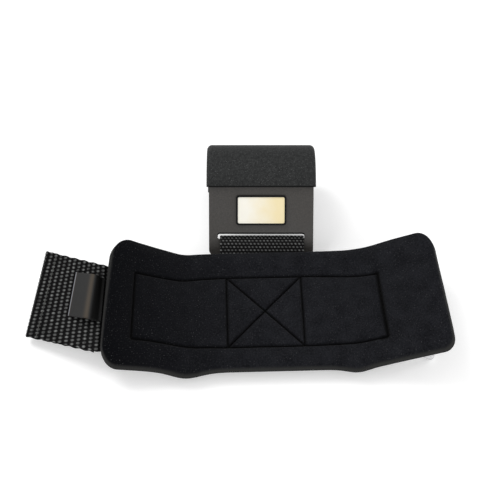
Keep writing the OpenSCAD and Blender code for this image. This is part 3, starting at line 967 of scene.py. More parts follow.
@dataclass(frozen=True)
class CuffSizes:
    """Sizes and bends of the cuff, in its own frame: s along the pad, t across it."""

    hook: HookSizes = HookSizes()
    web_w: float = 51.0
    web_play: float = 1.0
    layer_gap: float = 0.1
    loop_neck: float = 16.0
    pad_w: float = 77.0
    pad_t: float = 6.2
    backing_t: float = 1.8
    pad_gap: float = 0.25
    backing_inset: float = 1.2
    pad_crown: float = 1.2
    pad_back: float = 11.0
    droop: float = 1.4
    left_bulge: float = 3.4
    right_bulge: float = 2.2
    right_flare: float = 3.5
    left_hand: float = 96.5
    left_forearm: float = 96.0
    right_hand: float = 106.0
    right_forearm: float = 110.0
    corner_r: float = 10.5
    stitch_w: float = 47.0
    left_taper: float = 3.2
    right_taper: float = 2.0
    web_offset: float = -2.0
    box_half: float = 22.0
    left_seam: Pair = (79.5, 81.0)
    right_seam: Pair = (73.0, 70.5)
    x0: float = 0.5
    yaw: float = 1.6
    curl_hand: float = 31.0
    curl_forearm: float = 10.0
    left_bend: Pair = (42.5, 12.0)
    right_bend: Pair = (46.0, 25.0)
    right_curl: float = 23.0
    lift_w: float = 13.0
    lift_fade: Pair = (30.0, 40.0)
    droop_w: float = 12.0
    taper_run: float = 55.0
    flare_run: Pair = (25.0, 65.0)
    flare_power: int = 4
    left_swell: Pair = (4.0, 12.0)
    right_swell: Pair = (6.0, 9.0)
    dip_fade: float = 11.0
    fan_from: float = 50.0
    tight_corner: float = 0.6

    @property
    def leg_pair(self) -> float:
        """Thickness of the two legs of the webbing eye and the gap between them."""
        return 2 * self.hook.web_t + self.layer_gap

    @property
    def pad_z(self) -> float:
        """Level of the backing's underside above the plane between the legs."""
        return self.hook.web_t + 1.5 * self.layer_gap

    @property
    def strap_drop(self) -> float:
        """How far the strap dips under the legs."""
        return 2 * self.hook.web_t + 3 * self.layer_gap

    @property
    def mid_y(self) -> float:
        """Distance of the pad's middle line from the rung."""
        return -(self.pad_back + self.pad_w / 2)

    @property
    def hand_lift(self) -> float:
        """Lift of the hand edge where it rides on the climbing leg.

        Returns:
            The lift in millimetres.
        """
        half = self.leg_pair / 2
        slope = (math.asin(self.hook.loop_ro / math.hypot(self.loop_neck, half))
                 - math.atan2(half, self.loop_neck))
        turned = (self.web_w / 2 + self.web_play) * math.sin(math.radians(self.yaw))
        reach = self.loop_neck - self.pad_back - self.backing_inset + turned
        return reach * math.tan(slope) + half + 2 * self.layer_gap - self.pad_z

    @property
    def loop_reach(self) -> float:
        """Distance from the rung to the ends of the loop's legs."""
        return -self.mid_y - self.web_offset + self.stitch_w / 2

    @property
    def dip_half(self) -> float:
        """Half width of the strap's dip, which clears the legs of the loop."""
        turned = (self.loop_reach - self.pad_back) * math.sin(math.radians(self.yaw))
        return self.web_w / 2 + self.web_play + turned

    @property
    def tilt(self) -> float:
        """Tilt that lays the strap's forearm edge on the plane under the hook.

        Returns:
            The angle in radians.
        """
        front = self.mid_y + self.web_offset - self.web_w / 2
        low = self.pad_z - self.strap_drop - self.hook.web_t
        return math.asin(self.hook.loop_ro / math.hypot(front, low)) - math.atan2(-low, -front)

    def world(self, p: Array) -> Array:
        """Points of the cuff's frame, turned by its tilt about the rung, in the row frame.

        Args:
            p: Points along the last axis.

        Returns:
            The same points in the row frame.
        """
        y0, z0 = self.hook.rung_world
        c, s = math.cos(self.tilt), math.sin(self.tilt)
        x, y, z = p[..., 0], p[..., 1], p[..., 2]
        return np.stack([x + self.x0, y0 + y * c - z * s, z0 + y * s + z * c], -1)

    def sag(self, s: Array, t: Array) -> Array:
        """Soft height: the hand edge lifts over the legs, the forearm edge droops.

        Args:
            s: Length along the pad.
            t: Width across it.

        Returns:
            Height over the flat cloth.
        """
        half = self.pad_w / 2
        start, fade = self.lift_fade
        lift = ramp((t - half + self.lift_w) / self.lift_w)
        lift = lift * (1 - ramp((np.abs(s) - start) / fade))
        droop = ramp((-t - half + self.droop_w) / self.droop_w)
        return self.hand_lift * lift - self.droop * droop

    def yawed(self, p: Array) -> Array:
        """Points turned about the upright through the middle of the hand edge.

        Args:
            p: Points in the cuff's frame.

        Returns:
            The same points, turned by the yaw.
        """
        c, s = math.cos(math.radians(self.yaw)), math.sin(math.radians(self.yaw))
        x, y = p[..., 0], p[..., 1] + self.pad_back
        return np.stack([x * c - y * s, x * s + y * c - self.pad_back, p[..., 2]], -1)

    def point(self, s: Values, t: Values, h: Values) -> Array:
        """Point of the cuff: flat in the middle, then a circular bend, then a straight wing.

        Args:
            s: Length along the pad, negative to the left.
            t: Width across the pad, positive towards the hand.
            h: Height over the backing's underside.

        Returns:
            Points in the cuff's frame.
        """
        s, t, h = np.broadcast_arrays(np.asarray(s, float), t, h)
        left = s < 0
        f = np.clip(t / self.pad_w + 0.5, 0, 1)
        left_curl = self.curl_forearm + (self.curl_hand - self.curl_forearm) * f
        a = np.radians(np.where(left, left_curl, self.right_curl))
        start = np.where(left, self.left_bend[0], self.right_bend[0])
        length = np.where(left, self.left_bend[1], self.right_bend[1])
        over = np.abs(s) - start
        r = length / a
        b = a * np.clip(over / length, 0, 1)
        past = np.maximum(0, over - length)
        out = np.where(left, -1.0, 1.0) * (start + (r - h) * np.sin(b) + past * np.cos(a))
        up = r - (r - h) * np.cos(b) + past * np.sin(a)
        flat = over <= 0
        x = np.where(flat, s, out)
        z = np.where(flat, h, up) + self.pad_z + self.sag(s, t)
        return self.yawed(np.stack([x, self.mid_y + t, z], -1))

    def spread(self, s: Array, t: Array) -> Array:
        """Real place across the pad: the seams draw in to the ends, the right end widens.

        Args:
            s: Length along the pad.
            t: Nominal width across it.

        Returns:
            The width at which that thread of cloth lies.
        """
        half = self.pad_w / 2
        inside = np.clip(2 * (t - self.web_offset) / self.stitch_w, -1, 1)
        fade = (half - np.abs(t)) / (half - self.stitch_w / 2 - abs(self.web_offset))
        taper = (np.where(s < 0, self.left_taper, self.right_taper)
                 * ramp((np.abs(s) - self.box_half) / self.taper_run))
        start, run = self.flare_run
        reach = np.maximum(0, t / half) ** self.flare_power
        flare = self.right_flare * ramp((s - start) / run) * reach
        return t - taper * inside * np.clip(fade, 0, 1) + flare

    def pad_end(self, side: Side, t: Values) -> Array:
        """Length from the middle to the pad's slanted end.

        Args:
            side: Which end.
            t: Width across the pad.

        Returns:
            The length at each width.
        """
        f = np.clip(np.asarray(t) / self.pad_w + 0.5, 0, 1)
        near, far = ((self.left_forearm, self.left_hand) if side is Side.LEFT
                     else (self.right_forearm, self.right_hand))
        return near + (far - near) * f

    def tip(self, side: Side) -> float:
        """Length from the middle to the pad's end on its middle line."""
        return float(self.pad_end(side, 0.0))

    def fan(self, c: Array, q: Array) -> tuple[Array, Array, Array]:
        """Length on the cloth for nominal columns c and rows q.

        Past fan_from the columns spread in proportion, so that the last one lies on the
        slanted end.

        Args:
            c: Nominal lengths.
            q: Nominal widths.

        Returns:
            The length, the nominal length to the end, and the corner's radius there.
        """
        left = c < 0
        nominal = np.where(left, self.tip(Side.LEFT), self.tip(Side.RIGHT))
        end = np.where(left, self.pad_end(Side.LEFT, q), self.pad_end(Side.RIGHT, q))
        flat = self.fan_from
        over = np.maximum(0, np.abs(c) - flat)
        s = np.where(over > 0, np.sign(c) * (flat + over * (end - flat) / (nominal - flat)), c)
        corner = np.where((c > 0) & (q < 0), self.tight_corner, 1.0) * self.corner_r
        return s, nominal, corner

    def seam_end(self, s: Array, v: Array) -> Array:
        """Length from the middle to the slanted end seam.

        Args:
            s: Length along the pad; only its side counts.
            v: Width from the strap's middle.

        Returns:
            The length at each width.
        """
        f = np.clip(v / self.stitch_w + 0.5, 0, 1)
        ends = [near + (far - near) * f for near, far in (self.left_seam, self.right_seam)]
        return np.where(s < 0, ends[0], ends[1])

    def bulge(self, s: Array) -> Array:
        """How far the forearm edge swells beside each bend: two bell curves.

        Args:
            s: Length along the pad.

        Returns:
            The swelling at each length.
        """
        (left_on, left_w), (right_on, right_w) = self.left_swell, self.right_swell
        left = np.exp(-(((s + self.left_bend[0] + left_on) / left_w) ** 2))
        right = np.exp(-(((s - self.right_bend[0] - right_on) / right_w) ** 2))
        return self.left_bulge * left + self.right_bulge * right

    def strap_h(self, s: Array) -> Array:
        """Height of the strap's upper face: it dips under the legs of the loop.

        Args:
            s: Length along the pad.

        Returns:
            Height over the backing's underside.
        """
        dip = (self.strap_drop - self.layer_gap) * (
            1 - ramp((np.abs(s) - self.dip_half) / self.dip_fade))
        return -self.layer_gap - dip

    def strap_point(self, s: Values, v: Values, o: float) -> Array:
        """Point of the sewn strap; v runs over -1..1 across it and o goes outwards."""
        return self.point(s, self.web_offset + v * self.web_w / 2, self.strap_h(s) - o)

    def seam_distance(self, s: Array, t: Array) -> Array:
        """Distance to the nearest seam: the stitched outline or the box with its cross.

        Args:
            s: Length along the pad.
            t: Width across it.

        Returns:
            The distance on the cloth.
        """
        v = t - self.web_offset
        half = self.stitch_w / 2
        past = np.abs(s) - self.seam_end(s, v)
        out = np.maximum(0, np.abs(v) - half)
        long_seam = np.abs(np.abs(v) - half) + np.maximum(0, past)
        end_seam = np.abs(past) + out
        box_seam = np.abs(np.abs(s) - self.box_half) + out
        inside = (np.abs(v) <= half) & (np.abs(s) <= self.box_half)
        diagonal = np.abs(np.abs(s) * half - np.abs(v) * self.box_half)
        cross = np.where(inside, diagonal / math.hypot(half, self.box_half), np.inf)
        return np.minimum.reduce([long_seam, end_seam, box_seam, cross])


# ---- webbing


@dataclass(frozen=True)
class Weave:
    """Heavy plain weave: oval yarn knots in columns, each column half a knot off the last."""

    column: float = 3.3
    knot: float = 2.2
    depth: float = 0.42
    lean: float = 0.25
    fill: Pair = (0.92, 1.04)

    def height(self, a: Array, v: Array) -> Array:
        """Height share of the knots: half ellipsoids on a staggered grid, zero between them.

        Args:
            a: Length along the webbing.
            v: Width across the webbing.

        Returns:
            Shares from 0 in the gaps to 1 on the crowns.
        """
        i = np.round(a / self.column)
        along = 2 * (a / self.column - i)
        place = v / self.knot - 0.5 * np.mod(i, 2)
        across = 2 * (place - np.round(place))
        slant = across - self.lean * along
        long, wide = self.fill
        return np.sqrt(np.clip(1 - (along / long) ** 2 - (slant / wide) ** 2, 0, 1))


@dataclass
class Ribbon:
    """Webbing of a known thickness laid along a grid of middle points."""

    middle: Array
    along: Array
    across: Array
    thickness: float = 1.6
    weave: Weave = Weave()
    face: Face = Face.BOTH
    least: float = 0.12
    waver: float = 0.22
    waver_w: float = 1.2

    def skin(self, open_ends: tuple[bool, bool] = (False, False)) -> Skin:
        """Closed skin: both faces are the middle grid moved out by half the thickness.

        Near the two selvages the thickness falls as a quarter circle, and the selvage
        itself waves with the weave.

        Args:
            open_ends: Whether the first and the last end meet another ribbon squarely.

        Returns:
            The ribbon's skin.
        """
        normal = grid_normals(self.middle)
        a, v = np.broadcast_arrays(self.along[:, None], self.across[None, :])
        inset = np.minimum(v - self.across[0], self.across[-1] - v)
        share = rounded(inset, SELVAGE)
        for i, is_open in enumerate(open_ends):
            if not is_open:
                from_end = np.abs(self.along - self.along[-i])
                share = share * rounded(from_end, SELVAGE)[:, None]
        share = self.least + (1 - self.least) * share
        knots = self.weave.height(a, v)
        sunk = self.weave.depth * (knots - 1)
        half = self.thickness / 2
        top = sunk if self.face is Face.BOTH else 0 * sunk
        sideways = unit(np.gradient(self.middle, axis=1))
        waver = self.waver * np.cos(np.pi * a / self.weave.column) * np.exp(-inset / self.waver_w)
        body = self.middle + sideways * (np.sign(v) * waver)[..., None]
        upper = body + normal * ((half + top) * share)[..., None]
        lower = body - normal * ((half + sunk) * share)[..., None]
        return pillow(upper, lower, np.stack([a, v], -1), open_ends,
                      relief=np.stack([knots, knots]))


def selvaged(width: float, step: float) -> Array:
    """Stops across a webbing, with closer ones along its two selvages.

    Args:
        width: Width of the webbing.
        step: Distance between the inner stops.

    Returns:
        Stops from minus to plus half the width.
    """
    close = -width / 2 + np.array(SELVAGE_STOPS)
    inner = even(-width / 2 + SELVAGE, width / 2 - SELVAGE, step)
    return np.concatenate([close, inner, -close[::-1]])


@dataclass(frozen=True)
class Seam:
    """A row of stitches: short fat-ended capsules, a little sunk at both ends."""

    pitch: float = 3.1
    length: float = 2.5
    radius: float = 0.24
    rings: int = 5
    sides: int = 6
    end_share: float = 0.25
    sunk: float = 0.7

    def skin(self, path: Array, up: Array) -> Skin:
        """Stitches along a path.

        Each stitch is a grid of rings: its axis runs straight between two points of the
        path, its radius follows the square root of a parabola, and its ends dip. The number
        of sides is even, so that quads close the ends.

        Args:
            path: Points along the seam, close together.
            up: Unit outward direction at each point.

        Returns:
            All the stitches as one skin.
        """
        length = travelled(path)
        count = max(1, int(length[-1] / self.pitch))
        starts = (np.arange(count) + 0.5) * length[-1] / count - self.length / 2
        share = np.linspace(0, 1, self.rings)
        at = starts[:, None] + share[None, :] * self.length
        axis, out = sampled(at, length, path), unit(sampled(at, length, up))
        ahead = unit(axis[:, -1:] - axis[:, :1])
        side = unit(np.cross(ahead, out))
        arch = np.sqrt(np.clip(1 - (2 * share - 1) ** 2, 0, 1))
        radius = self.radius * (self.end_share + (1 - self.end_share) * arch)
        turn = np.arange(self.sides) * 2 * np.pi / self.sides
        axis = axis + out * (self.radius * (arch - self.sunk))[None, :, None]
        ring = (axis[:, :, None] + radius[None, :, None, None]
                * (np.cos(turn)[None, None, :, None] * side[:, :, None]
                   + np.sin(turn)[None, None, :, None] * out[:, :, None]))
        per = self.rings * self.sides
        j = np.arange(self.sides)
        k = (j + 1) % self.sides
        rows = np.arange(self.rings - 1)[:, None] * self.sides
        wall = np.stack([rows + j, rows + self.sides + j, rows + self.sides + k, rows + k],
                        -1).reshape(-1, 4)
        caps = np.array([[0, i, i + 1, i + 2] for i in range(1, self.sides - 1, 2)])
        one = np.vstack([wall, caps, (self.rings - 1) * self.sides + caps[:, ::-1]])
        quads = (one[None] + (np.arange(count) * per)[:, None, None]).reshape(-1, 4)
        uv = np.stack(np.broadcast_arrays(at[:, :, None], turn[None, None, :]), -1)
        return Skin(ring.reshape(-1, 3), quads, uv.reshape(-1, 2))


def joined(skins: Sequence[Skin]) -> Skin:
    """Several skins as one, without relief or fixed normals.

    Args:
        skins: The skins to join.

    Returns:
        One skin that holds them all.
    """
    starts = np.cumsum([0] + [len(s.points) for s in skins[:-1]])
    return Skin(np.vstack([s.points for s in skins]),
                np.vstack([s.quads + n for s, n in zip(skins, starts)]),
                np.vstack([s.uv for s in skins]))


# ---- the studio


@dataclass
class Studio:
    """Camera, lights and floor."""

    floor_z: float
    floor_half: float = 6000.0
    elevation: float = 52.0
    distance: float = 751.4
    field_of_view: float = 22.5
    view_w: float = 480.0
    clip: Pair = (0.05, 10.0)
    aim: Pair = (20.66, 57.15)
    surround: float = 0.62
    lamps: Sequence[tuple[str, tuple[float, float, float], float, float]] = (
        ("key", (-0.55, 0.35, 0.85), 0.6, 5.5),
        ("front", (0.2, -1.0, 0.5), 0.6, 3.5),
        ("side", (0.9, 0.1, 0.5), 0.5, 1.5),
    )

    def camera(self) -> None:
        """Look along +Y from above, with the origin off the middle of the view.

        In a view that is view_w wide, the origin lies right of and above its middle by aim.
        """
        focal = self.view_w / 2 / math.tan(math.radians(self.field_of_view / 2))
        e = math.radians(self.elevation)
        ahead = np.array([0.0, math.cos(e), -math.sin(e)])
        up = np.array([0.0, math.sin(e), math.cos(e)])
        right = np.array([1.0, 0.0, 0.0])
        x, y = (self.distance * p / focal for p in self.aim)
        spot = -(self.distance * ahead + x * right + y * up)
        data = bpy.data.cameras.new("camera")
        data.angle = math.radians(self.field_of_view)
        data.clip_start, data.clip_end = self.clip
        camera = bpy.data.objects.new("camera", data)
        camera.location = tuple(spot * MM)
        camera.rotation_euler = (math.radians(90 - self.elevation), 0, 0)
        bpy.context.scene.collection.objects.link(camera)
        bpy.context.scene.camera = camera

    def lamp(self, name: str, spot: Sequence[float], size: float, watts: float) -> None:
        """Soft square light that points at the origin.

        Args:
            name: Name of the light.
            spot: Its place, in metres.
            size: Side of the square, in metres.
            watts: Its power.
        """
        data = bpy.data.lights.new(name, "AREA")
        data.size, data.energy = size, watts
        light = bpy.data.objects.new(name, data)
        light.location = spot
        aim = -np.array(spot)
        light.rotation_euler = (math.atan2(math.hypot(aim[0], aim[1]), -aim[2]), 0,
                                math.atan2(aim[1], aim[0]) - math.pi / 2)
        bpy.context.scene.collection.objects.link(light)

    def build(self) -> None:
        """Make the camera, the lamps, the pale surround and the floor."""
        self.camera()
        for lamp in self.lamps:
            self.lamp(*lamp)
        world = bpy.data.worlds.new("surround")
        world.use_nodes = True
        background = world.node_tree.nodes["Background"]
        background.inputs["Color"].default_value = (1, 1, 1, 1)
        background.inputs["Strength"].default_value = self.surround
        bpy.context.scene.world = world
        bpy.context.scene.view_settings.view_transform = "Standard"
        side = np.array([-self.floor_half, self.floor_half])
        x, y = np.meshgrid(side, side)
        points = np.stack([x, y, np.full_like(x, self.floor_z)], -1).reshape(-1, 3)
        skin = Skin(points, grid_quads(2, 2), points[:, :2])
        skin.make("studio_floor", Paper().build())


# ---- the hook


@dataclass
class Part:
    """One finished soft piece and what the frame needs to know of it."""

    name: str
    skin: Skin
    material: Material
    slot: str
    replaces: Sequence[str]
    body: str
    blend: Optional[tuple[str, Array, Array]] = None
    fill: Optional[float] = None
    cut: Optional[Pair] = None

    def add(self) -> bpy.types.Object:
        """Make the object, let it ride on its body or bake it in place, and hide what it
        replaces.

        Returns:
            The finished object.
        """
        obj = self.skin.make(self.name, self.material)
        if self.blend is None:
            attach(obj, self.body)
        else:
            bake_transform(obj)
        if self.replaces:
            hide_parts(*self.replaces)
        LOG.info("%s: %d faces on %s", self.name, len(self.skin.quads), self.body)
        return obj


@dataclass
class Hook:
    """Steel plate, rubber cover and badge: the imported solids, given their finishes."""

    finishes: dict[str, Finish] = field(default_factory=lambda: {
        "hook_plate": PowderCoat(),
        "hook_sleeve": Rubber(lean=HookSizes().tilt),
        "badge_rim": Gloss("badge_black", (0.0015, 0.0015, 0.0015), (0.003, 0.003, 0.003),
                           roughness=0.4, coat=0.0, specular=0.1),
        "badge_face": Gloss("badge_ivory", (0.95, 0.92, 0.82), (0.90, 0.77, 0.46),
                            roughness=0.35, coat=0.1, specular=0.2),
        "ring": Steel(),
    })
    # walls that look this way down the plate get painted shade
    down: tuple[float, float, float] = (0.0, -0.68, -0.73)
    shade_wall_from: float = 0.94
    shade_wall_fade: float = 0.04
    sizes: HookSizes = HookSizes()
    top_edge: float = 0.9
    side_edge: float = 0.35
    edge_root: float = 0.1
    edge_deep: float = 1.5
    edge_power: int = 8
    # near-black tone of the strip of painted shade in the slot
    slot_shade_tone: Colour = (0.0006, 0.0006, 0.0006)
    turn_steps: int = 9
    depth_steps: int = 13

    def edges(self, mesh: bpy.types.Mesh) -> None:
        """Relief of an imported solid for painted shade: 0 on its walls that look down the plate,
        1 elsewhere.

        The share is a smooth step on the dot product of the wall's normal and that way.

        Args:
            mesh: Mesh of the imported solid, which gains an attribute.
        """
        normals = np.zeros(len(mesh.polygons) * 3, np.float32)
        mesh.polygons.foreach_get("normal", normals)
        down = normals.reshape(-1, 3) @ unit(np.array(self.down))
        values = mesh.attributes.new("relief", "FLOAT", "FACE")
        # relief 0 on walls that look down the plate, where painted shade goes
        share = 1 - ramp((down - self.shade_wall_from) / self.shade_wall_fade)
        values.data.foreach_set("value", share.astype(np.float32))

    def dress(self) -> None:
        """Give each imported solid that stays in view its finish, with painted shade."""
        for node, finish in self.finishes.items():
            mesh = bpy.data.objects[node].data
            self.edges(mesh)
            mesh.materials.clear()
            mesh.materials.append(finish.build())
            LOG.info("%s wears %s", node, finish.name)

    def slot_edge(self) -> Part:
        """Dark strip of painted shade on the slot's edge: a low crown carried round its top and
        down its sides.

        The path is half the slot's outline: a side, a quarter turn, the top, a quarter turn
        and a side. The crown's height over the wall is its height in the middle times one
        less a high power of q, which runs from -1 to 1 into the plate, and it is less on
        the sides.

        Returns:
            The finished piece.
        """
        z = self.sizes
        half = z.slot_w / 2 - z.slot_corner_r
        turn = np.concatenate([[math.pi], np.linspace(math.pi, math.pi / 2, self.turn_steps),
                               np.linspace(math.pi / 2, 0, self.turn_steps), [0.0]])
        x = np.repeat([-half, half], self.turn_steps + 1) + z.slot_corner_r * np.cos(turn)
        up = -z.slot_drop + z.slot_corner_r * (np.sin(turn) - 1)
        up[[0, -1]] -= z.slot_h - 2 * z.slot_corner_r
        q = np.linspace(-1, 1, self.depth_steps)
        out = z.seat_r + z.liner_t + z.plate_t - self.edge_deep * (1 - q) / 2
        tall = self.side_edge + (self.top_edge - self.side_edge) * np.sin(turn)
        crown = np.outer(tall, 1 - q ** self.edge_power)
        sheets = []
        for lift in (np.full_like(crown, -self.edge_root), crown):
            wide = x[:, None] - np.cos(turn)[:, None] * lift
            down = up[:, None] - np.sin(turn)[:, None] * lift
            sheets.append(z.leaning(wide, down, out[None, :]))
        uv = np.stack(np.broadcast_arrays(up[:, None], out[None, :]), -1)
        skin = pillow(sheets[0], sheets[1], uv, (True, True), np.ones((2, *uv.shape[:2])))
        # the strip is near black all over: painted shade
        coat = Gloss("slot_black", self.slot_shade_tone, self.slot_shade_tone, roughness=0.6, coat=0.0,
                     specular=0.02)
        return Part("slot_edge", skin, coat.build(), "coated_steel", [], "hook")


# ---- the cuff


@dataclass
class Zone:
    """A stretch of the cuff: the middle panel, or a wing that bends off it."""

    label: str
    first: float
    last: float
    wing: Optional[str] = None
    side: int = 0
    bend: Pair = (26.0, 42.0)
    level: float = 4.0

    def blend(self, cuff: CuffSizes) -> Optional[tuple[str, Array, Array]]:
        """Where the stretch starts and stops following the wing.

        Args:
            cuff: Sizes of the cuff.

        Returns:
            The wing, the start and the end, or None in the middle.
        """
        if self.wing is None:
            return None
        near, far = (cuff.world(cuff.point(self.side * s, 0.0, self.level)) for s in self.bend)
        return self.wing, near, far


@dataclass
class Cushion:
    """Padded jersey cushion with sewn channels, cut in three where the frame hinges."""

    sizes: CuffSizes
    step: float = 0.6
    rim_level: float = 0.3
    top_r: float = 3.0
    squareness: float = 3.4
    rim_steps: int = 8
    crease_d: float = 1.5
    crease_w: float = 0.55
    crease_power: float = 1.3
    quilt_d: float = 1.2
    quilt_w: float = 3.2
    loft: float = 1.1
    fold_d: float = 0.45
    fold_w: float = 1.5
    fold_at: Pair = (-40.0, 41.5)
    fold_band: Pair = (22.0, 8.0)
    wave_d: float = 0.09
    waves: Sequence[tuple[float, ...]] = ((1.0, 5.3, 9.1, 6.7, -13.0),
                                          (0.6, 2.9, -4.3, 3.7, 7.7))
    pucker_d: float = 0.06
    pucker_pitch: float = 4.4
    pucker_w: float = 2.2
    pucker_slant: float = 0.6
    pulls: Sequence[tuple[float, ...]] = ((1, 66.0, 4.0, 1.0), (-1, 72.0, 4.0, 0.3))
    fill: float = 0.6
    # where the painted shade of the seams and the painted light of the side walls fall
    seam_shade: Pair = (0.15, 0.95)
    wall_light: Pair = (0.62, 0.3)
    bulge_power: int = 6
    coarse_step: float = 4.6
    coarse_inset: Pair = (1.0, 0.8)
    held_levels: int = 10
    held_most: float = 1.25
    held_reach: float = 3.0
    top_share: float = 95.0
    least_rise: float = 1e-3
    pressure: float = 4.0
    cloth_frames: int = 20

    def __post_init__(self) -> None:
        """Run the cloth pass once."""
        z = self.sizes
        end, side = self.coarse_inset
        self.puff_c = even(end - z.tip(Side.LEFT), z.tip(Side.RIGHT) - end, self.coarse_step)
        self.puff_q = even(-z.pad_w / 2 + side, z.pad_w / 2 - side, self.coarse_step)
        self.puff = np.zeros((len(self.puff_c), len(self.puff_q)))
        self.puff = self.simulate()

    def rim(self, radius: float) -> tuple[Array, Array]:
        """Insets and height shares from the rim inwards, along a squarish superellipse.

        Args:
            radius: Width of the rounded rim.

        Returns:
            Distances in from the rim, and the share at each.
        """
        turn = np.linspace(0, np.pi / 2, self.rim_steps)
        power = 2 / self.squareness
        return radius * (1 - np.cos(turn) ** power), np.sin(turn) ** power

    def thickness(self, s: Array, t: Array, puff: Array) -> Array:
        """Crown of the foam and its puff, less a wide dip and a sharp crease at each seam.

        Beside each bend the forearm band has one shallow fold, products of slow sine waves
        keep the surface from being quite even, and a faster one puckers it by the seams.

        Args:
            s: Length along the pad.
            t: Nominal width across it.
            puff: Swelling from the cloth pass, from 0 to 1.

        Returns:
            Thickness of the cushion above its underside.
        """
        z = self.sizes
        d = z.seam_distance(s, t) / self.widening(s)
        crown = z.pad_crown * (1 - (2 * t / z.pad_w) ** 2)
        dips = self.crease_d * np.exp(-((d / self.crease_w) ** self.crease_power))
        dips = dips + self.quilt_d * np.exp(-d / self.quilt_w)
        start, fade = self.fold_band
        fold = sum(np.exp(-(((s - at) / self.fold_w) ** 2)) for at in self.fold_at)
        fold = ramp((-t - start) / fade) * fold
        waves = sum(share * np.sin(s / s1 + t / t1) * np.sin(t / t2 + s / s2)
                    for share, s1, t1, t2, s2 in self.waves)
        pucker = np.cos(2 * np.pi * (s + self.pucker_slant * t) / self.pucker_pitch)
        pucker = pucker * np.exp(-d / self.pucker_w)
        return (z.pad_t + crown - dips + self.loft * puff - self.fold_d * fold
                + self.wave_d * waves - self.pucker_d * pucker)

    def widening(self, s: Array) -> Array:
        """How much wider the seams are pulled at the two sewn ends of the strap."""
        return 1 + sum(more * ramp((way * s - start) / run)
                       for way, start, run, more in self.pulls)

    def relief(self, s: Array, t: Array, share: Array) -> Array:
        """Relief of the upper face for painted light: 0 in the seams, 0.5 on the face, 1 on the
        side wall.

        Args:
            s: Length along the pad.
            t: Nominal width across it.
            share: Height share, 0 on the rim and 1 on the face.

        Returns:
            The relief at each point.
        """
        d = self.sizes.seam_distance(s, t) / self.widening(s)
        (near, rise), (low, fade) = self.seam_shade, self.wall_light
        # painted shade near the seams, painted light on the side wall
        return 0.5 * ramp((d - near) / rise) + 0.5 * (1 - ramp((share - low) / fade))

    def end_half(self, left_over: Array, corner: Array) -> Array:
        """Half width left at that distance from a rounded end with that corner radius."""
        return self.sizes.pad_w / 2 - corner * (1 - rounded(left_over, corner))

    def place(self, c: Array, q: Array) -> tuple[Array, Array, Array]:
        """Length and width on the cloth for nominal columns c and rows q.

        The columns fan out to the slanted ends, and there the rows close up round the
        corners.

        Args:
            c: Nominal lengths.
            q: Nominal widths.

        Returns:
            Length, width, and the nominal length left to the end.
        """
        z = self.sizes
        c, q = np.broadcast_arrays(c[:, None], q[None, :])
        s, nominal, corner = z.fan(c, q)
        left_over = np.maximum(0, nominal - np.abs(c))
        return s, q * self.end_half(left_over, corner) / (z.pad_w / 2), left_over

    def levels(self, c: Array, q: Array, share: Array, puff: Array, upper: bool) -> Array:
        """Points of one face of the cushion; its forearm edge swells beside the bends.

        Args:
            c: Nominal lengths.
            q: Nominal widths.
            share: Height share of each row, 0 on the rim and 1 on the face.
            puff: Swelling at each point.
            upper: True for the face towards the wrist.

        Returns:
            Grid of points in the row frame.
        """
        z = self.sizes
        s, t, left_over = self.place(c, q)
        inset, end_share = self.rim(self.top_r)
        k = share[None, :] * np.interp(left_over, inset, end_share)
        thick = self.thickness(s, t, puff * k)
        climb = self.rim_level + (1 - self.rim_level) * k if upper else self.rim_level * (1 - k)
        h = z.backing_t + z.pad_gap + thick * climb
        edge = z.bulge(s) * np.clip(-q / (z.pad_w / 2), 0, 1)[None, :] ** self.bulge_power
        return z.world(z.point(s, z.spread(s, t) - edge, h))

    def simulate(self) -> Array:
        """Cloth pass: a coarse copy is blown up a little while its seams are held.

        The copy starts thinner than the cushion. Vertices are held by how near they are to
        a seam, and all of the underside is held. The rise of the upper face is scaled so
        that its highest twentieth reaches 1, and capped there.

        Returns:
            Swelling on the coarse grid, from 0 to 1.
        """
        c, q = self.puff_c, self.puff_q
        none = np.zeros((len(c), len(q)))
        share = np.ones(len(q))
        upper = self.levels(c, q, share, none, True)
        lower = self.levels(c, q, share, none, False)
        s, t, _ = self.place(c, q)
        skin = pillow(upper, lower, np.stack([s, t], -1), (False, False))
        obj = skin.make("cloth_pass", bpy.data.materials.new("cloth_pass"))
        away = self.sizes.seam_distance(s, t).ravel() / self.held_reach
        held = np.concatenate([np.clip(self.held_most - away, 0.0, 1.0), np.ones(s.size)])
        group = obj.vertex_groups.new(name="held")
        for level in range(self.held_levels + 1):
            chosen = np.flatnonzero(np.round(held * self.held_levels) == level)
            group.add(chosen.tolist(), level / self.held_levels, "REPLACE")
        cloth = obj.modifiers.new("cloth", "CLOTH")
        cloth.settings.vertex_group_mass = "held"
        cloth.settings.use_pressure = True
        cloth.settings.uniform_pressure_force = self.pressure
        cloth.settings.effector_weights.gravity = 0.0
        cloth.point_cache.frame_start, cloth.point_cache.frame_end = 1, self.cloth_frames
        scene = bpy.context.scene
        for frame_number in range(1, self.cloth_frames + 1):
            scene.frame_set(frame_number)
        shape = obj.evaluated_get(bpy.context.evaluated_depsgraph_get()).to_mesh()
        moved = np.zeros(len(shape.vertices) * 3, np.float32)
        shape.vertices.foreach_get("co", moved)
        scene.frame_set(1)
        mesh = obj.data
        bpy.data.objects.remove(obj)
        bpy.data.meshes.remove(mesh)
        grid = moved.reshape(-1, 3)[: s.size].reshape(upper.shape) / MM
        rise = -np.sum((grid - upper) * grid_normals(upper), -1)
        top = float(np.percentile(rise, self.top_share))
        LOG.info("cloth pass: %d points rise up to %.2f mm", s.size, float(rise.max()))
        return np.clip(rise / top, 0, 1) if top > self.least_rise else none

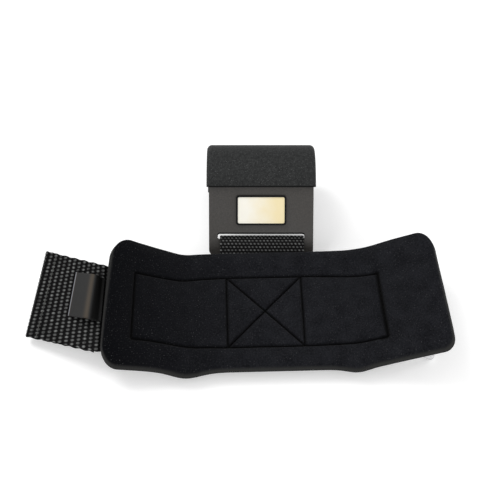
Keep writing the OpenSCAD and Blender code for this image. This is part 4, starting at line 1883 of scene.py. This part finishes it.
    def columns(self) -> Array:
        """Nominal lengths from tip to tip, close together at the rounded ends.

        Returns:
            The columns of the cushion's grid.
        """
        z = self.sizes
        inset, _ = self.rim(self.top_r)
        left, right = z.tip(Side.LEFT), z.tip(Side.RIGHT)
        stops = [-left + inset[:-1], even(-left + self.top_r, -z.box_half, self.step),
                 even(-z.box_half, z.box_half, self.step)[1:-1],
                 even(z.box_half, right - self.top_r, self.step), (right - inset[:-1])[::-1]]
        return np.concatenate(stops)

    def skins(self, zones: Sequence[Zone]) -> list[Skin]:
        """The cushion as one surface, cut at the zones' borders with its normals kept.

        Args:
            zones: The stretches, each between two columns of the surface.

        Returns:
            One closed skin for each zone.
        """
        z = self.sizes
        c = self.columns()
        inset, share = self.rim(self.top_r)
        half_w = z.pad_w / 2
        inner = even(-half_w + self.top_r, half_w - self.top_r, self.step)
        q = np.concatenate([-half_w + inset[:-1], inner, (half_w - inset[:-1])[::-1]])
        shares = np.concatenate([share[:-1], np.ones_like(inner), share[:-1][::-1]])
        puff = cubic_weights(self.puff_c, c) @ self.puff @ cubic_weights(self.puff_q, q).T
        upper = self.levels(c, q, shares, puff, True)
        lower = self.levels(c, q, shares, puff, False)
        s, t, left_over = self.place(c, q)
        height = shares[None, :] * np.interp(left_over, inset, share)
        relief = np.stack([self.relief(s, t, height), np.ones_like(s)])
        over, under = -grid_normals(upper), grid_normals(lower)
        for line in (np.s_[0], np.s_[-1], np.s_[:, 0], np.s_[:, -1]):
            shared = unit(over[line] + under[line])
            over[line], under[line] = shared, shared
        cut = []
        for zone in zones:
            rows = (c >= zone.first - TOUCH) & (c <= zone.last + TOUCH)
            cut.append(pillow(upper[rows], lower[rows], np.stack([s, t], -1)[rows],
                              (zone.side >= 0, zone.side <= 0), relief[:, rows],
                              np.stack([over[rows], under[rows]])))
        return cut

    def top_at(self, s: Array, t: Array) -> tuple[Array, Array]:
        """Points of the upper face along a line on the cloth.

        Args:
            s: Lengths along the pad.
            t: Nominal widths across it.

        Returns:
            The points, and a unit vector out of the face at each.
        """
        z = self.sizes
        thick = self.thickness(s, t, np.zeros_like(s))
        level = z.backing_t + z.pad_gap
        across = z.spread(s, t)
        at = z.world(z.point(s, across, level + thick))
        above = z.world(z.point(s, across, level + thick + 1))
        return at, unit(above - at)


@dataclass
class Backing:
    """Outer skin of the pad: a thin sheet of jersey over foam with a rolled edge."""

    sizes: CuffSizes
    cushion: Cushion
    step: float = 2.0
    rim_w: float = 1.4
    rim_stops: tuple[float, ...] = (0.0, 0.25, 0.7)
    round_w: float = 1.0

    def skin(self, zone: Zone) -> Skin:
        """Closed skin of one stretch: the cushion's outline drawn in by the inset.

        Its two faces close up on the outline as a quarter circle.

        Args:
            zone: The stretch.

        Returns:
            The stretch's skin.
        """
        z = self.sizes
        inset, rim_w = z.backing_inset, self.rim_w
        half_w = z.pad_w / 2 - inset
        edge = np.array(self.rim_stops)
        q = np.concatenate([-half_w + edge, even(-half_w + rim_w, half_w - rim_w, self.step),
                            (half_w - edge)[::-1]])
        if zone.side < 0:
            end = -z.tip(Side.LEFT) + inset
            c = np.concatenate([end + edge, even(end + rim_w, zone.last, self.step)])
        elif zone.side > 0:
            end = z.tip(Side.RIGHT) - inset
            c = np.concatenate([even(zone.first, end - rim_w, self.step), (end - edge)[::-1]])
        else:
            c = even(zone.first, zone.last, self.step)
        c, q = np.broadcast_arrays(c[:, None], q[None, :])
        s, nominal, corner = z.fan(c, q)
        left_over = np.maximum(0, nominal - inset - np.abs(c))
        t = z.spread(s, q * (self.cushion.end_half(left_over, corner) - inset) / half_w)
        rim = half_w - np.abs(q)
        if zone.side:
            rim = np.minimum(rim, left_over)
        share = rounded(rim, self.round_w)
        middle = z.backing_t / 2
        upper = z.world(z.point(s, t, middle + middle * share))
        lower = z.world(z.point(s, t, middle - middle * share))
        return pillow(upper, lower, np.stack([s, t], -1), (zone.side >= 0, zone.side <= 0),
                      np.full((2, *s.shape), 0.5))


@dataclass
class Label:
    """Blank care label: one satin ribbon, folded in two, its ends sewn in at the tail's root."""

    width: float = 26.0
    length: float = 22.9
    start: float = -0.05
    side: float = 0.33
    rise: float = 4.3
    thickness: float = 0.28
    knee: float = 0.356
    step: float = 0.3
    across_step: float = 0.8
    flap: Pair = (0.12, 0.46)
    # where the painted shade, sheen and highlight start along the ribbon
    flat_from: Pair = (0.25, 0.1)
    bend_at: Pair = (0.4, 0.08)
    fold_from: Pair = (0.94, 0.03)

    def profile(self) -> Array:
        """Middle line of the ribbon: up from the seam, over a bend, out, and back beneath.

        Returns:
            Distance along the tail and height over it, at close and even stops.
        """
        r, end = self.rise, self.length
        knee = self.knee * end
        rough = np.array([
            [0, 0.8], [0.25 * knee, 0.95], [0.7 * knee, 0.77 * r], [knee, r],
            [1.3 * knee, 0.97 * r], [0.62 * end, 0.7 * r], [end - 3, 1.5], [end - 0.4, 1.1],
            [end, 0.85], [end - 0.4, 0.6], [0.78 * end, 0.9], [0.6 * end, 0.45 * r],
            [1.3 * knee, 0.73 * r], [0.95 * knee, 0.66 * r], [0.6 * knee, 0.3 * r],
            [0.3 * knee, 0.45], [0, 0.35]])
        return smooth_line(rough, self.step)[0]

    def light_and_shade(self, line: Array) -> Array:
        """Relief along the ribbon for painted light: 0 at the root, painted shade, 0.5 flat, 0.75
        on the bend, a painted sheen, and 1 at the fold, a painted highlight.

        Args:
            line: The ribbon's profile.

        Returns:
            The relief at each of its points.
        """
        share = line[:, 0] / self.length
        flat, bend, fold = ((share - start) / run for start, run in
                            (self.flat_from, self.bend_at, self.fold_from))
        # painted shade near the root, painted sheen on the bend, painted highlight at the fold
        worn = 0.5 * ramp(flat) + 0.25 * np.exp(-(bend ** 2)) + 0.5 * ramp(fold)
        return np.clip(worn, 0, 1)


@dataclass
class Cuff:
    """The padded wrist cuff with its webbing, ring keeper, tail and label."""

    sizes: CuffSizes = CuffSizes()
    yarn_step: float = 0.3
    pass_step: float = 0.41
    loop_weave: Weave = Weave(1.95, 2.25, 0.3)
    loop_steps: Pair = (0.5, 0.4)
    keeper_neck: float = 6.0
    keeper_leg: float = 8.0
    keeper_slim: float = 2.0
    neck_ease: Pair = (1.0, 0.1)
    ring_s: float = 85.0
    wire_d: float = 3.2
    keeper_fit: float = 0.3
    keeper_gap: float = 0.3
    arc_steps: int = 60
    root_bow: float = 0.5
    root_past: float = 0.6
    tail_l: float = 44.0
    tail_veer: float = 20.0
    fold_slant: float = 17.0
    fold_rise: float = 32.0
    fold_r: float = 2.3
    fold_play: float = 0.4
    left_run: float = 69.0
    return_ends: Pair = (0.997, 0.08)
    tape_t: float = 1.15
    tape_w: float = 45.0
    tape_gap: float = 0.05
    tape_steps: Pair = (0.04, 1.5)
    loop_pile: Pile = Pile("loop_pile", (0.014, 0.014, 0.015), 14.0, 0.0003)
    loop_pile_ends: Pair = (0.1, 0.94)
    hook_pile: Pile = Pile("hook_pile", (0.010, 0.010, 0.011), 9.0, 0.0004)
    hook_pile_ends: Pair = (0.13, 0.8)
    under_pad: float = 6.0
    root_soft: int = 8
    seam_step: float = 1.0
    root_blend: Pair = (-3.0, 3.2)
    hem: float = 5.4
    hem_ends: Pair = (0.02, 0.98)

    def __post_init__(self) -> None:
        """Work out the zones, the finishes and the corners of the tail."""
        z = self.sizes
        self.zones = [
            Zone("centre", -z.box_half, z.box_half),
            Zone("left", -math.inf, -z.box_half, "left_wing", -1),
            Zone("right", z.box_half, math.inf, "right_wing", 1),
        ]
        self.jersey = Jersey().build()
        self.nylon = Webbing().build()
        self.thread = Thread().build()
        self.backing = Jersey("backing_jersey", base=(0.008, 0.008, 0.009),
                              worn=(0.014, 0.014, 0.015), loop_pitch=0.8, sheen=0.05).build()
        self.cushion = Cushion(z)
        self.corners()

    # -- webbing that lies along the pad

    def root_length(self, v: Array) -> Array:
        """Length at which the sewn strap leaves the pad's left end.

        Args:
            v: Place across the strap, from -1 to 1.

        Returns:
            The length at each place.
        """
        z = self.sizes
        end = z.pad_end(Side.LEFT, z.web_offset + v * z.web_w / 2)
        return end + self.root_past - self.root_bow * (1 - v * v)

    def corners(self) -> None:
        """Corners of the tail: its root on the strap and the slanted, rising fold."""
        z = self.sizes

        def root(v: float) -> Array:
            """Corner of the root, a millimetre past the strap's end.

            Args:
                v: Place across the strap, -1 or 1.

            Returns:
                Point in the cuff's frame.
            """
            length = float(self.root_length(np.array(v)))
            edge = z.strap_point(-length, v, z.hook.web_t / 2)
            inner = z.strap_point(-length + 1, v, z.hook.web_t / 2)
            return edge + unit(edge - inner)

        self.root_front, self.root_back = root(-1.0), root(1.0)
        veer, slant, rise = (math.radians(x) for x in
                             (self.tail_veer, self.fold_slant, self.fold_rise))
        outer = self.fold_r + z.hook.web_t / 2
        y = self.root_front[1] + self.tail_l * math.sin(veer)
        over = outer + self.fold_play - z.hook.loop_ro
        low = (over - y * math.sin(z.tilt)) / math.cos(z.tilt) + self.fold_r
        self.fold_front = np.array([self.root_front[0] - self.tail_l * math.cos(veer), y, low])
        self.fold_dir = np.array([math.sin(slant) * math.cos(rise),
                                  math.cos(slant) * math.cos(rise), math.sin(rise)])
        self.fold_back = self.fold_front + z.web_w * self.fold_dir

    def tail_mid(self, u: Array, v: Array) -> Array:
        """Bilinear strip between the root and the fold.

        Args:
            u: Share of the way from the root to the fold.
            v: Share of the way across.

        Returns:
            Points in the cuff's frame.
        """
        u, v = (x[..., None] for x in np.broadcast_arrays(u, v))
        root = self.root_front * (1 - v) + self.root_back * v
        fold = self.fold_front * (1 - v) + self.fold_back * v
        return root * (1 - u) + fold * u

    def tail_normal(self, u: Array, v: Array) -> Array:
        """Unit normal of that strip: its way across crossed with its way along.

        Args:
            u: Share of the way from the root to the fold.
            v: Share of the way across.

        Returns:
            Unit vectors in the cuff's frame.
        """
        u, v = (x[..., None] for x in np.broadcast_arrays(u, v))
        du = ((self.fold_front - self.root_front) * (1 - v)
              + (self.fold_back - self.root_back) * v)
        dv = ((self.root_back - self.root_front) * (1 - u)
              + (self.fold_back - self.fold_front) * u)
        return unit(np.cross(dv, du))

    def tail_sheet(self, us: Array, vs: Array, offset: Values) -> Array:
        """Grid of the tail at a height over its middle layer, in the row frame."""
        u, v = us[:, None], vs[None, :]
        return self.sizes.world(self.tail_mid(u, v) + offset * self.tail_normal(u, v))

    def roll(self, turns: Array, vs: Array) -> Array:
        """Half turn of the fold: a circle round the fold's axis, from the tail downwards.

        Args:
            turns: Angles, from 0 on the tail.
            vs: Shares of the way across.

        Returns:
            Grid of points in the row frame.
        """
        n = self.tail_normal(np.array([[1.0]]), vs[None, :])
        out = unit(np.cross(n, self.fold_dir))
        centre = self.tail_mid(np.array([[1.0]]), vs[None, :]) - self.fold_r * n
        a = turns[:, None, None]
        return self.sizes.world(centre + self.fold_r * (np.cos(a) * n + np.sin(a) * out))

    def sewn_strap(self, zone: Zone) -> Skin:
        """Strap under the pad, from the middle out to where the tail or the keeper starts.

        Args:
            zone: The stretch.

        Returns:
            The stretch's skin.
        """
        z = self.sizes
        vs = selvaged(z.web_w, self.yarn_step)
        share = vs / (z.web_w / 2)
        if zone.side < 0:
            far = -(self.root_length(share) - self.under_pad)
            f = even(0, 1, self.pass_step / self.left_run)[:, None]
            s = far[None, :] * (1 - f) + zone.last * f
        else:
            keeper = self.ring_s - self.keeper_neck - self.keeper_gap
            far = keeper if zone.side else zone.last
            s = even(zone.first, far, self.pass_step)[:, None] + 0 * share[None, :]
        middle = z.world(z.strap_point(s, share[None, :], z.hook.web_t / 2))
        along = s[:, len(vs) // 2]
        ribbon = Ribbon(middle, along, vs, z.hook.web_t, face=Face.OUTER)
        return ribbon.skin((True, zone.side <= 0))

    def seam_lines(self, zone: Zone) -> list[tuple[Array, Array]]:
        """Seams that cross a zone, as lines of cloth coordinates.

        Args:
            zone: The stretch.

        Returns:
            Length along the pad and width across it, for each seam.
        """
        z = self.sizes
        half, box, step = z.stitch_w / 2, z.box_half, self.seam_step
        lines = []
        if zone.side == 0:
            across, along = even(-half, half, step), even(-box, box, step)
            lines += [(np.full_like(across, x), across) for x in (-box, box)]
            lines += [(along, np.full_like(along, v)) for v in (-half, half)]
            lines += [(along, turn * along * half / box) for turn in (-1, 1)]
        else:
            for v in (-half, half):
                end = float(z.seam_end(np.array(float(zone.side)), np.array(v)))
                along = even(box, end, step)
                lines.append((zone.side * along, np.full_like(along, v)))
            v = even(-half, half, step)
            lines.append((zone.side * z.seam_end(np.full_like(v, zone.side), v), v))
        return [(s, v + z.web_offset) for s, v in lines]

    def stitching(self, zone: Zone) -> Skin:
        """Stitches of one zone: sunk in the channels above, and on the strap below.

        Args:
            zone: The stretch.

        Returns:
            All its stitches as one skin.
        """
        z = self.sizes
        found = []
        for s, t in self.seam_lines(zone):
            found.append(Seam().skin(*self.cushion.top_at(s, t)))
            v = (t - z.web_offset) / (z.web_w / 2)
            under = z.world(z.strap_point(s, v, z.hook.web_t))
            below = z.world(z.strap_point(s, v, z.hook.web_t + 1.0))
            found.append(Seam(radius=0.3).skin(under, unit(below - under)))
        return joined(found)

    def parts(self) -> list[Part]:
        """All the soft pieces of the cuff.

        Returns:
            The pieces, from the pad to the label.
        """
        z = self.sizes
        found: list[Part] = []
        cushions = self.cushion.skins(self.zones)
        for zone, skin in zip(self.zones, cushions):
            blend = zone.blend(z)
            found += [
                Part(f"cushion_{zone.label}", skin, self.jersey, "pad_jersey",
                     [f"pad_{zone.label}"], "cuff", blend, self.cushion.fill),
                Part(f"outer_skin_{zone.label}", Backing(z, self.cushion).skin(zone),
                     self.backing, "backing_jersey", [f"backing_{zone.label}"], "cuff", blend),
                Part(f"sewn_strap_{zone.label}", self.sewn_strap(zone), self.nylon, "webbing",
                     [f"strap_{zone.label}"], "cuff", blend),
                Part(f"stitching_{zone.label}", self.stitching(zone), self.thread, "webbing",
                     [], "cuff", blend),
            ]
        return found + [self.loop(), self.keeper()] + self.tail() + [self.label()]

    # -- webbing round a bar

    def eye(self, r: float, neck: float, leg: float, step: float) -> tuple[Array, Array]:
        """Middle line of an eye: lower leg, straight neck, arc round the bar, neck, leg.

        Args:
            r: Radius of the eye's inside.
            neck: Distance from the bar to where the legs have closed up.
            leg: Distance from the bar to the ends of the legs.
            step: Distance between the points.

        Returns:
            Points in the plane square to the bar, and the length along them.
        """
        z = self.sizes
        rm = r + z.hook.web_t / 2
        half = (z.hook.web_t + z.layer_gap) / 2
        turn = math.acos(rm / math.hypot(neck, half)) - math.atan2(half, neck)
        touch = np.array([-rm * math.cos(turn), rm * math.sin(turn)])
        arc = np.linspace(math.pi - turn, -math.pi + turn, self.arc_steps)
        bend = rm * np.stack([np.cos(arc), np.sin(arc)], -1)
        ease, rise = self.neck_ease
        up = np.array([[-leg, half], [-(leg + neck) / 2, half], [-neck - ease, half],
                       [-neck + ease, half + rise]])
        low = up[::-1] * [1, -1]
        rough = np.vstack([up, touch[None], bend[1:-1], (touch * [1, -1])[None], low])
        return smooth_line(rough, step)

    def loop(self) -> Part:
        """Webbing eye round the hook's rung, its legs running in under the pad.

        Returns:
            The finished piece.
        """
        z = self.sizes
        step, across = self.loop_steps
        line, along = self.eye(z.hook.loop_ri, z.loop_neck, z.loop_reach, step)
        vs = selvaged(z.web_w, across)
        spot = np.broadcast_arrays(vs[None, :], line[:, :1], line[:, 1:])
        middle = z.world(np.stack(spot, -1))
        skin = Ribbon(middle[:, ::-1], along, vs, z.hook.web_t, self.loop_weave).skin()
        return Part("loop_webbing", skin, self.nylon, "webbing", ["hook_loop"], "cuff")

    def keeper(self) -> Part:
        """Webbing folded round the ring and sewn under the strap's right end.

        Returns:
            The finished piece.
        """
        z = self.sizes
        r = self.wire_d / 2 + self.keeper_fit
        line, along = self.eye(r, self.keeper_neck, self.keeper_neck + self.keeper_leg,
                               self.pass_step)
        vs = selvaged(z.web_w - self.keeper_slim, self.yarn_step)
        pivot = z.point(self.ring_s, z.web_offset, -r - z.hook.web_t - z.layer_gap / 2)
        curl, yaw = math.radians(z.right_curl), math.radians(z.yaw)
        out, up = line[:, :1], line[:, 1:]
        x = out * math.cos(curl) - up * math.sin(curl)
        height = out * math.sin(curl) + up * math.cos(curl) + 0 * vs[None, :]
        spot = np.stack([pivot[0] + x * math.cos(yaw) - vs[None, :] * math.sin(yaw),
                         pivot[1] + x * math.sin(yaw) + vs[None, :] * math.cos(yaw),
                         pivot[2] + height], -1)
        skin = Ribbon(z.world(spot), along, vs, z.hook.web_t).skin()
        return Part("keeper_webbing", skin, self.nylon, "webbing", ["ring_keeper"], "right_wing")

    # -- the tail

    def tail(self) -> list[Part]:
        """The strap's free end: outward leg, rolled fold, return leg and closure tapes.

        Returns:
            The finished pieces.
        """
        z = self.sizes
        vs = selvaged(z.web_w, self.yarn_step)
        share = vs / z.web_w + 0.5
        signed = share * 2 - 1
        hidden = even(-self.under_pad, 0, self.pass_step)[:-1]
        s = -(self.root_length(signed)[None, :] + hidden[:, None])
        inside = z.world(z.strap_point(s, signed[None, :], z.hook.web_t / 2))
        us = even(0, 1, self.pass_step / self.tail_l)
        middle = softened(np.vstack([inside, self.tail_sheet(us, share, 0.0)]), self.root_soft)
        along = travelled(middle[:, len(vs) // 2])
        along = along - along[-1] + self.tail_l
        tail = Ribbon(middle[:, ::-1], along, vs, z.hook.web_t).skin((True, True))
        arc = math.pi * self.fold_r
        turns = even(0, math.pi, self.pass_step / self.fold_r)
        fold = Ribbon(self.roll(turns, share)[:, ::-1], self.tail_l + turns * self.fold_r, vs,
                      z.hook.web_t).skin((True, True))
        back = even(*self.return_ends, self.pass_step / self.tail_l)
        under = self.tail_sheet(back, share, -2 * self.fold_r)
        leg = Ribbon(under[:, ::-1], self.tail_l + arc + (1 - back) * self.tail_l, vs,
                     z.hook.web_t).skin((True, False))
        root = (self.root_front + self.root_back) / 2
        away = unit((self.fold_front + self.fold_back) / 2 - root)
        start, end = (z.world(root + far * away) for far in self.root_blend)
        fold_mid = np.array([1.0]), np.array([0.5])
        n, top = self.tail_normal(*fold_mid)[0], self.tail_mid(*fold_mid)[0]
        over, below = z.world(top), z.world(top - 2 * self.fold_r * n)
        hem_v = even(*self.hem_ends, 1.0 / z.web_w)[None, :]
        hem_u = np.full_like(hem_v, 1 - self.hem / self.tail_l)
        line = self.tail_mid(hem_u, hem_v)[0]
        out = self.tail_normal(hem_u, hem_v)[0]
        above = line + out * (z.hook.web_t / 2 + z.layer_gap)
        stitches = Seam(length=3.0, radius=0.28).skin(z.world(above),
                                                      z.world(line + out) - z.world(line))
        hem_thread = Thread("hem_thread", base=(0.05, 0.05, 0.048), crown=(0.09, 0.09, 0.085))
        parts = [
            Part("tail_webbing", tail, self.nylon, "webbing", ["tail_strap"], "left_wing",
                 ("tail", start, end)),
            Part("fold_webbing", fold, self.nylon, "webbing", ["tail_fold"], "tail",
                 ("tail_end", over, below)),
            Part("return_webbing", leg, self.nylon, "webbing", ["tail_return"], "tail_end"),
            Part("hem_stitches", stitches, hem_thread.build(), "webbing", [], "tail"),
        ]
        return parts + self.tapes()

    def tapes(self) -> list[Part]:
        """Closure tapes: loop pile under the tail, hook pile on the leg that returns there.

        Returns:
            The two finished pieces.
        """
        z = self.sizes
        strip = (1 - self.tape_w / z.web_w) / 2
        step, width_step = self.tape_steps
        across = even(strip, 1 - strip, width_step / z.web_w)
        high = -z.hook.web_t / 2 - self.tape_gap
        low = -2 * self.fold_r + z.hook.web_t / 2 + self.tape_gap
        found = []
        for coat, node, body, top_h, ends in (
            (self.loop_pile, "loop_tape", "tail", high, self.loop_pile_ends),
            (self.hook_pile, "hook_tape", "tail_end", low + self.tape_t, self.hook_pile_ends),
        ):
            us = even(*ends, step)
            upper = self.tail_sheet(us, across, top_h)
            lower = self.tail_sheet(us, across, top_h - self.tape_t)
            u, v = np.broadcast_arrays(us[:, None] * self.tail_l, across[None, :] * z.web_w)
            skin = pillow(upper[:, ::-1], lower[:, ::-1], np.stack([u, v], -1), (True, True))
            found.append(Part(coat.name, skin, coat.build(), coat.name, [node], body))
        return found

    def label(self) -> Part:
        """Folded satin tag: it leaves the seam, humps up and lies back over the tail.

        Returns:
            The finished piece.
        """
        z = self.sizes
        tag = Label()
        line = tag.profile()
        us = tag.start + line[:, 0] / self.tail_l
        across = even(tag.side, tag.side + tag.width / z.web_w, tag.across_step / z.web_w)
        height = (z.hook.web_t / 2 + line[:, 1])[:, None, None]
        middle = self.tail_sheet(us, across, height)
        normal = grid_normals(middle)
        half = normal * tag.thickness / 2
        length = travelled(line)
        u, v = np.broadcast_arrays(length[:, None], across[None, :] * z.web_w)
        skin = pillow((middle - half)[:, ::-1], (middle + half)[:, ::-1],
                      np.stack([u, v], -1), (False, False),
                      np.broadcast_to(tag.light_and_shade(line)[None, :, None], (2, *u.shape)))
        mid_v = np.array([tag.side + tag.width / z.web_w / 2])
        start, end = (self.tail_sheet(np.array([u]), mid_v, z.hook.web_t / 2)[0, 0]
                      for u in tag.flap)
        return Part("folded_label", skin, Satin().build(), "label_satin", ["care_label"],
                    "tail", ("label", start, end), cut=(tag.width, float(length[-1])))


# ---- building


def main() -> None:
    """Build the studio, dress the hook, add painted slot shade, and make the cuff's soft pieces.
    """
    logging.basicConfig(level=logging.INFO, format="%(name)s: %(message)s")
    Studio(floor_z=CAD_LOW[2] / MM - FLOOR_GAP).build()
    hook = Hook()
    hook.dress()
    for part in [hook.slot_edge(), *Cuff().parts()]:
        part.add()


if __name__ == "__main__":
    main()
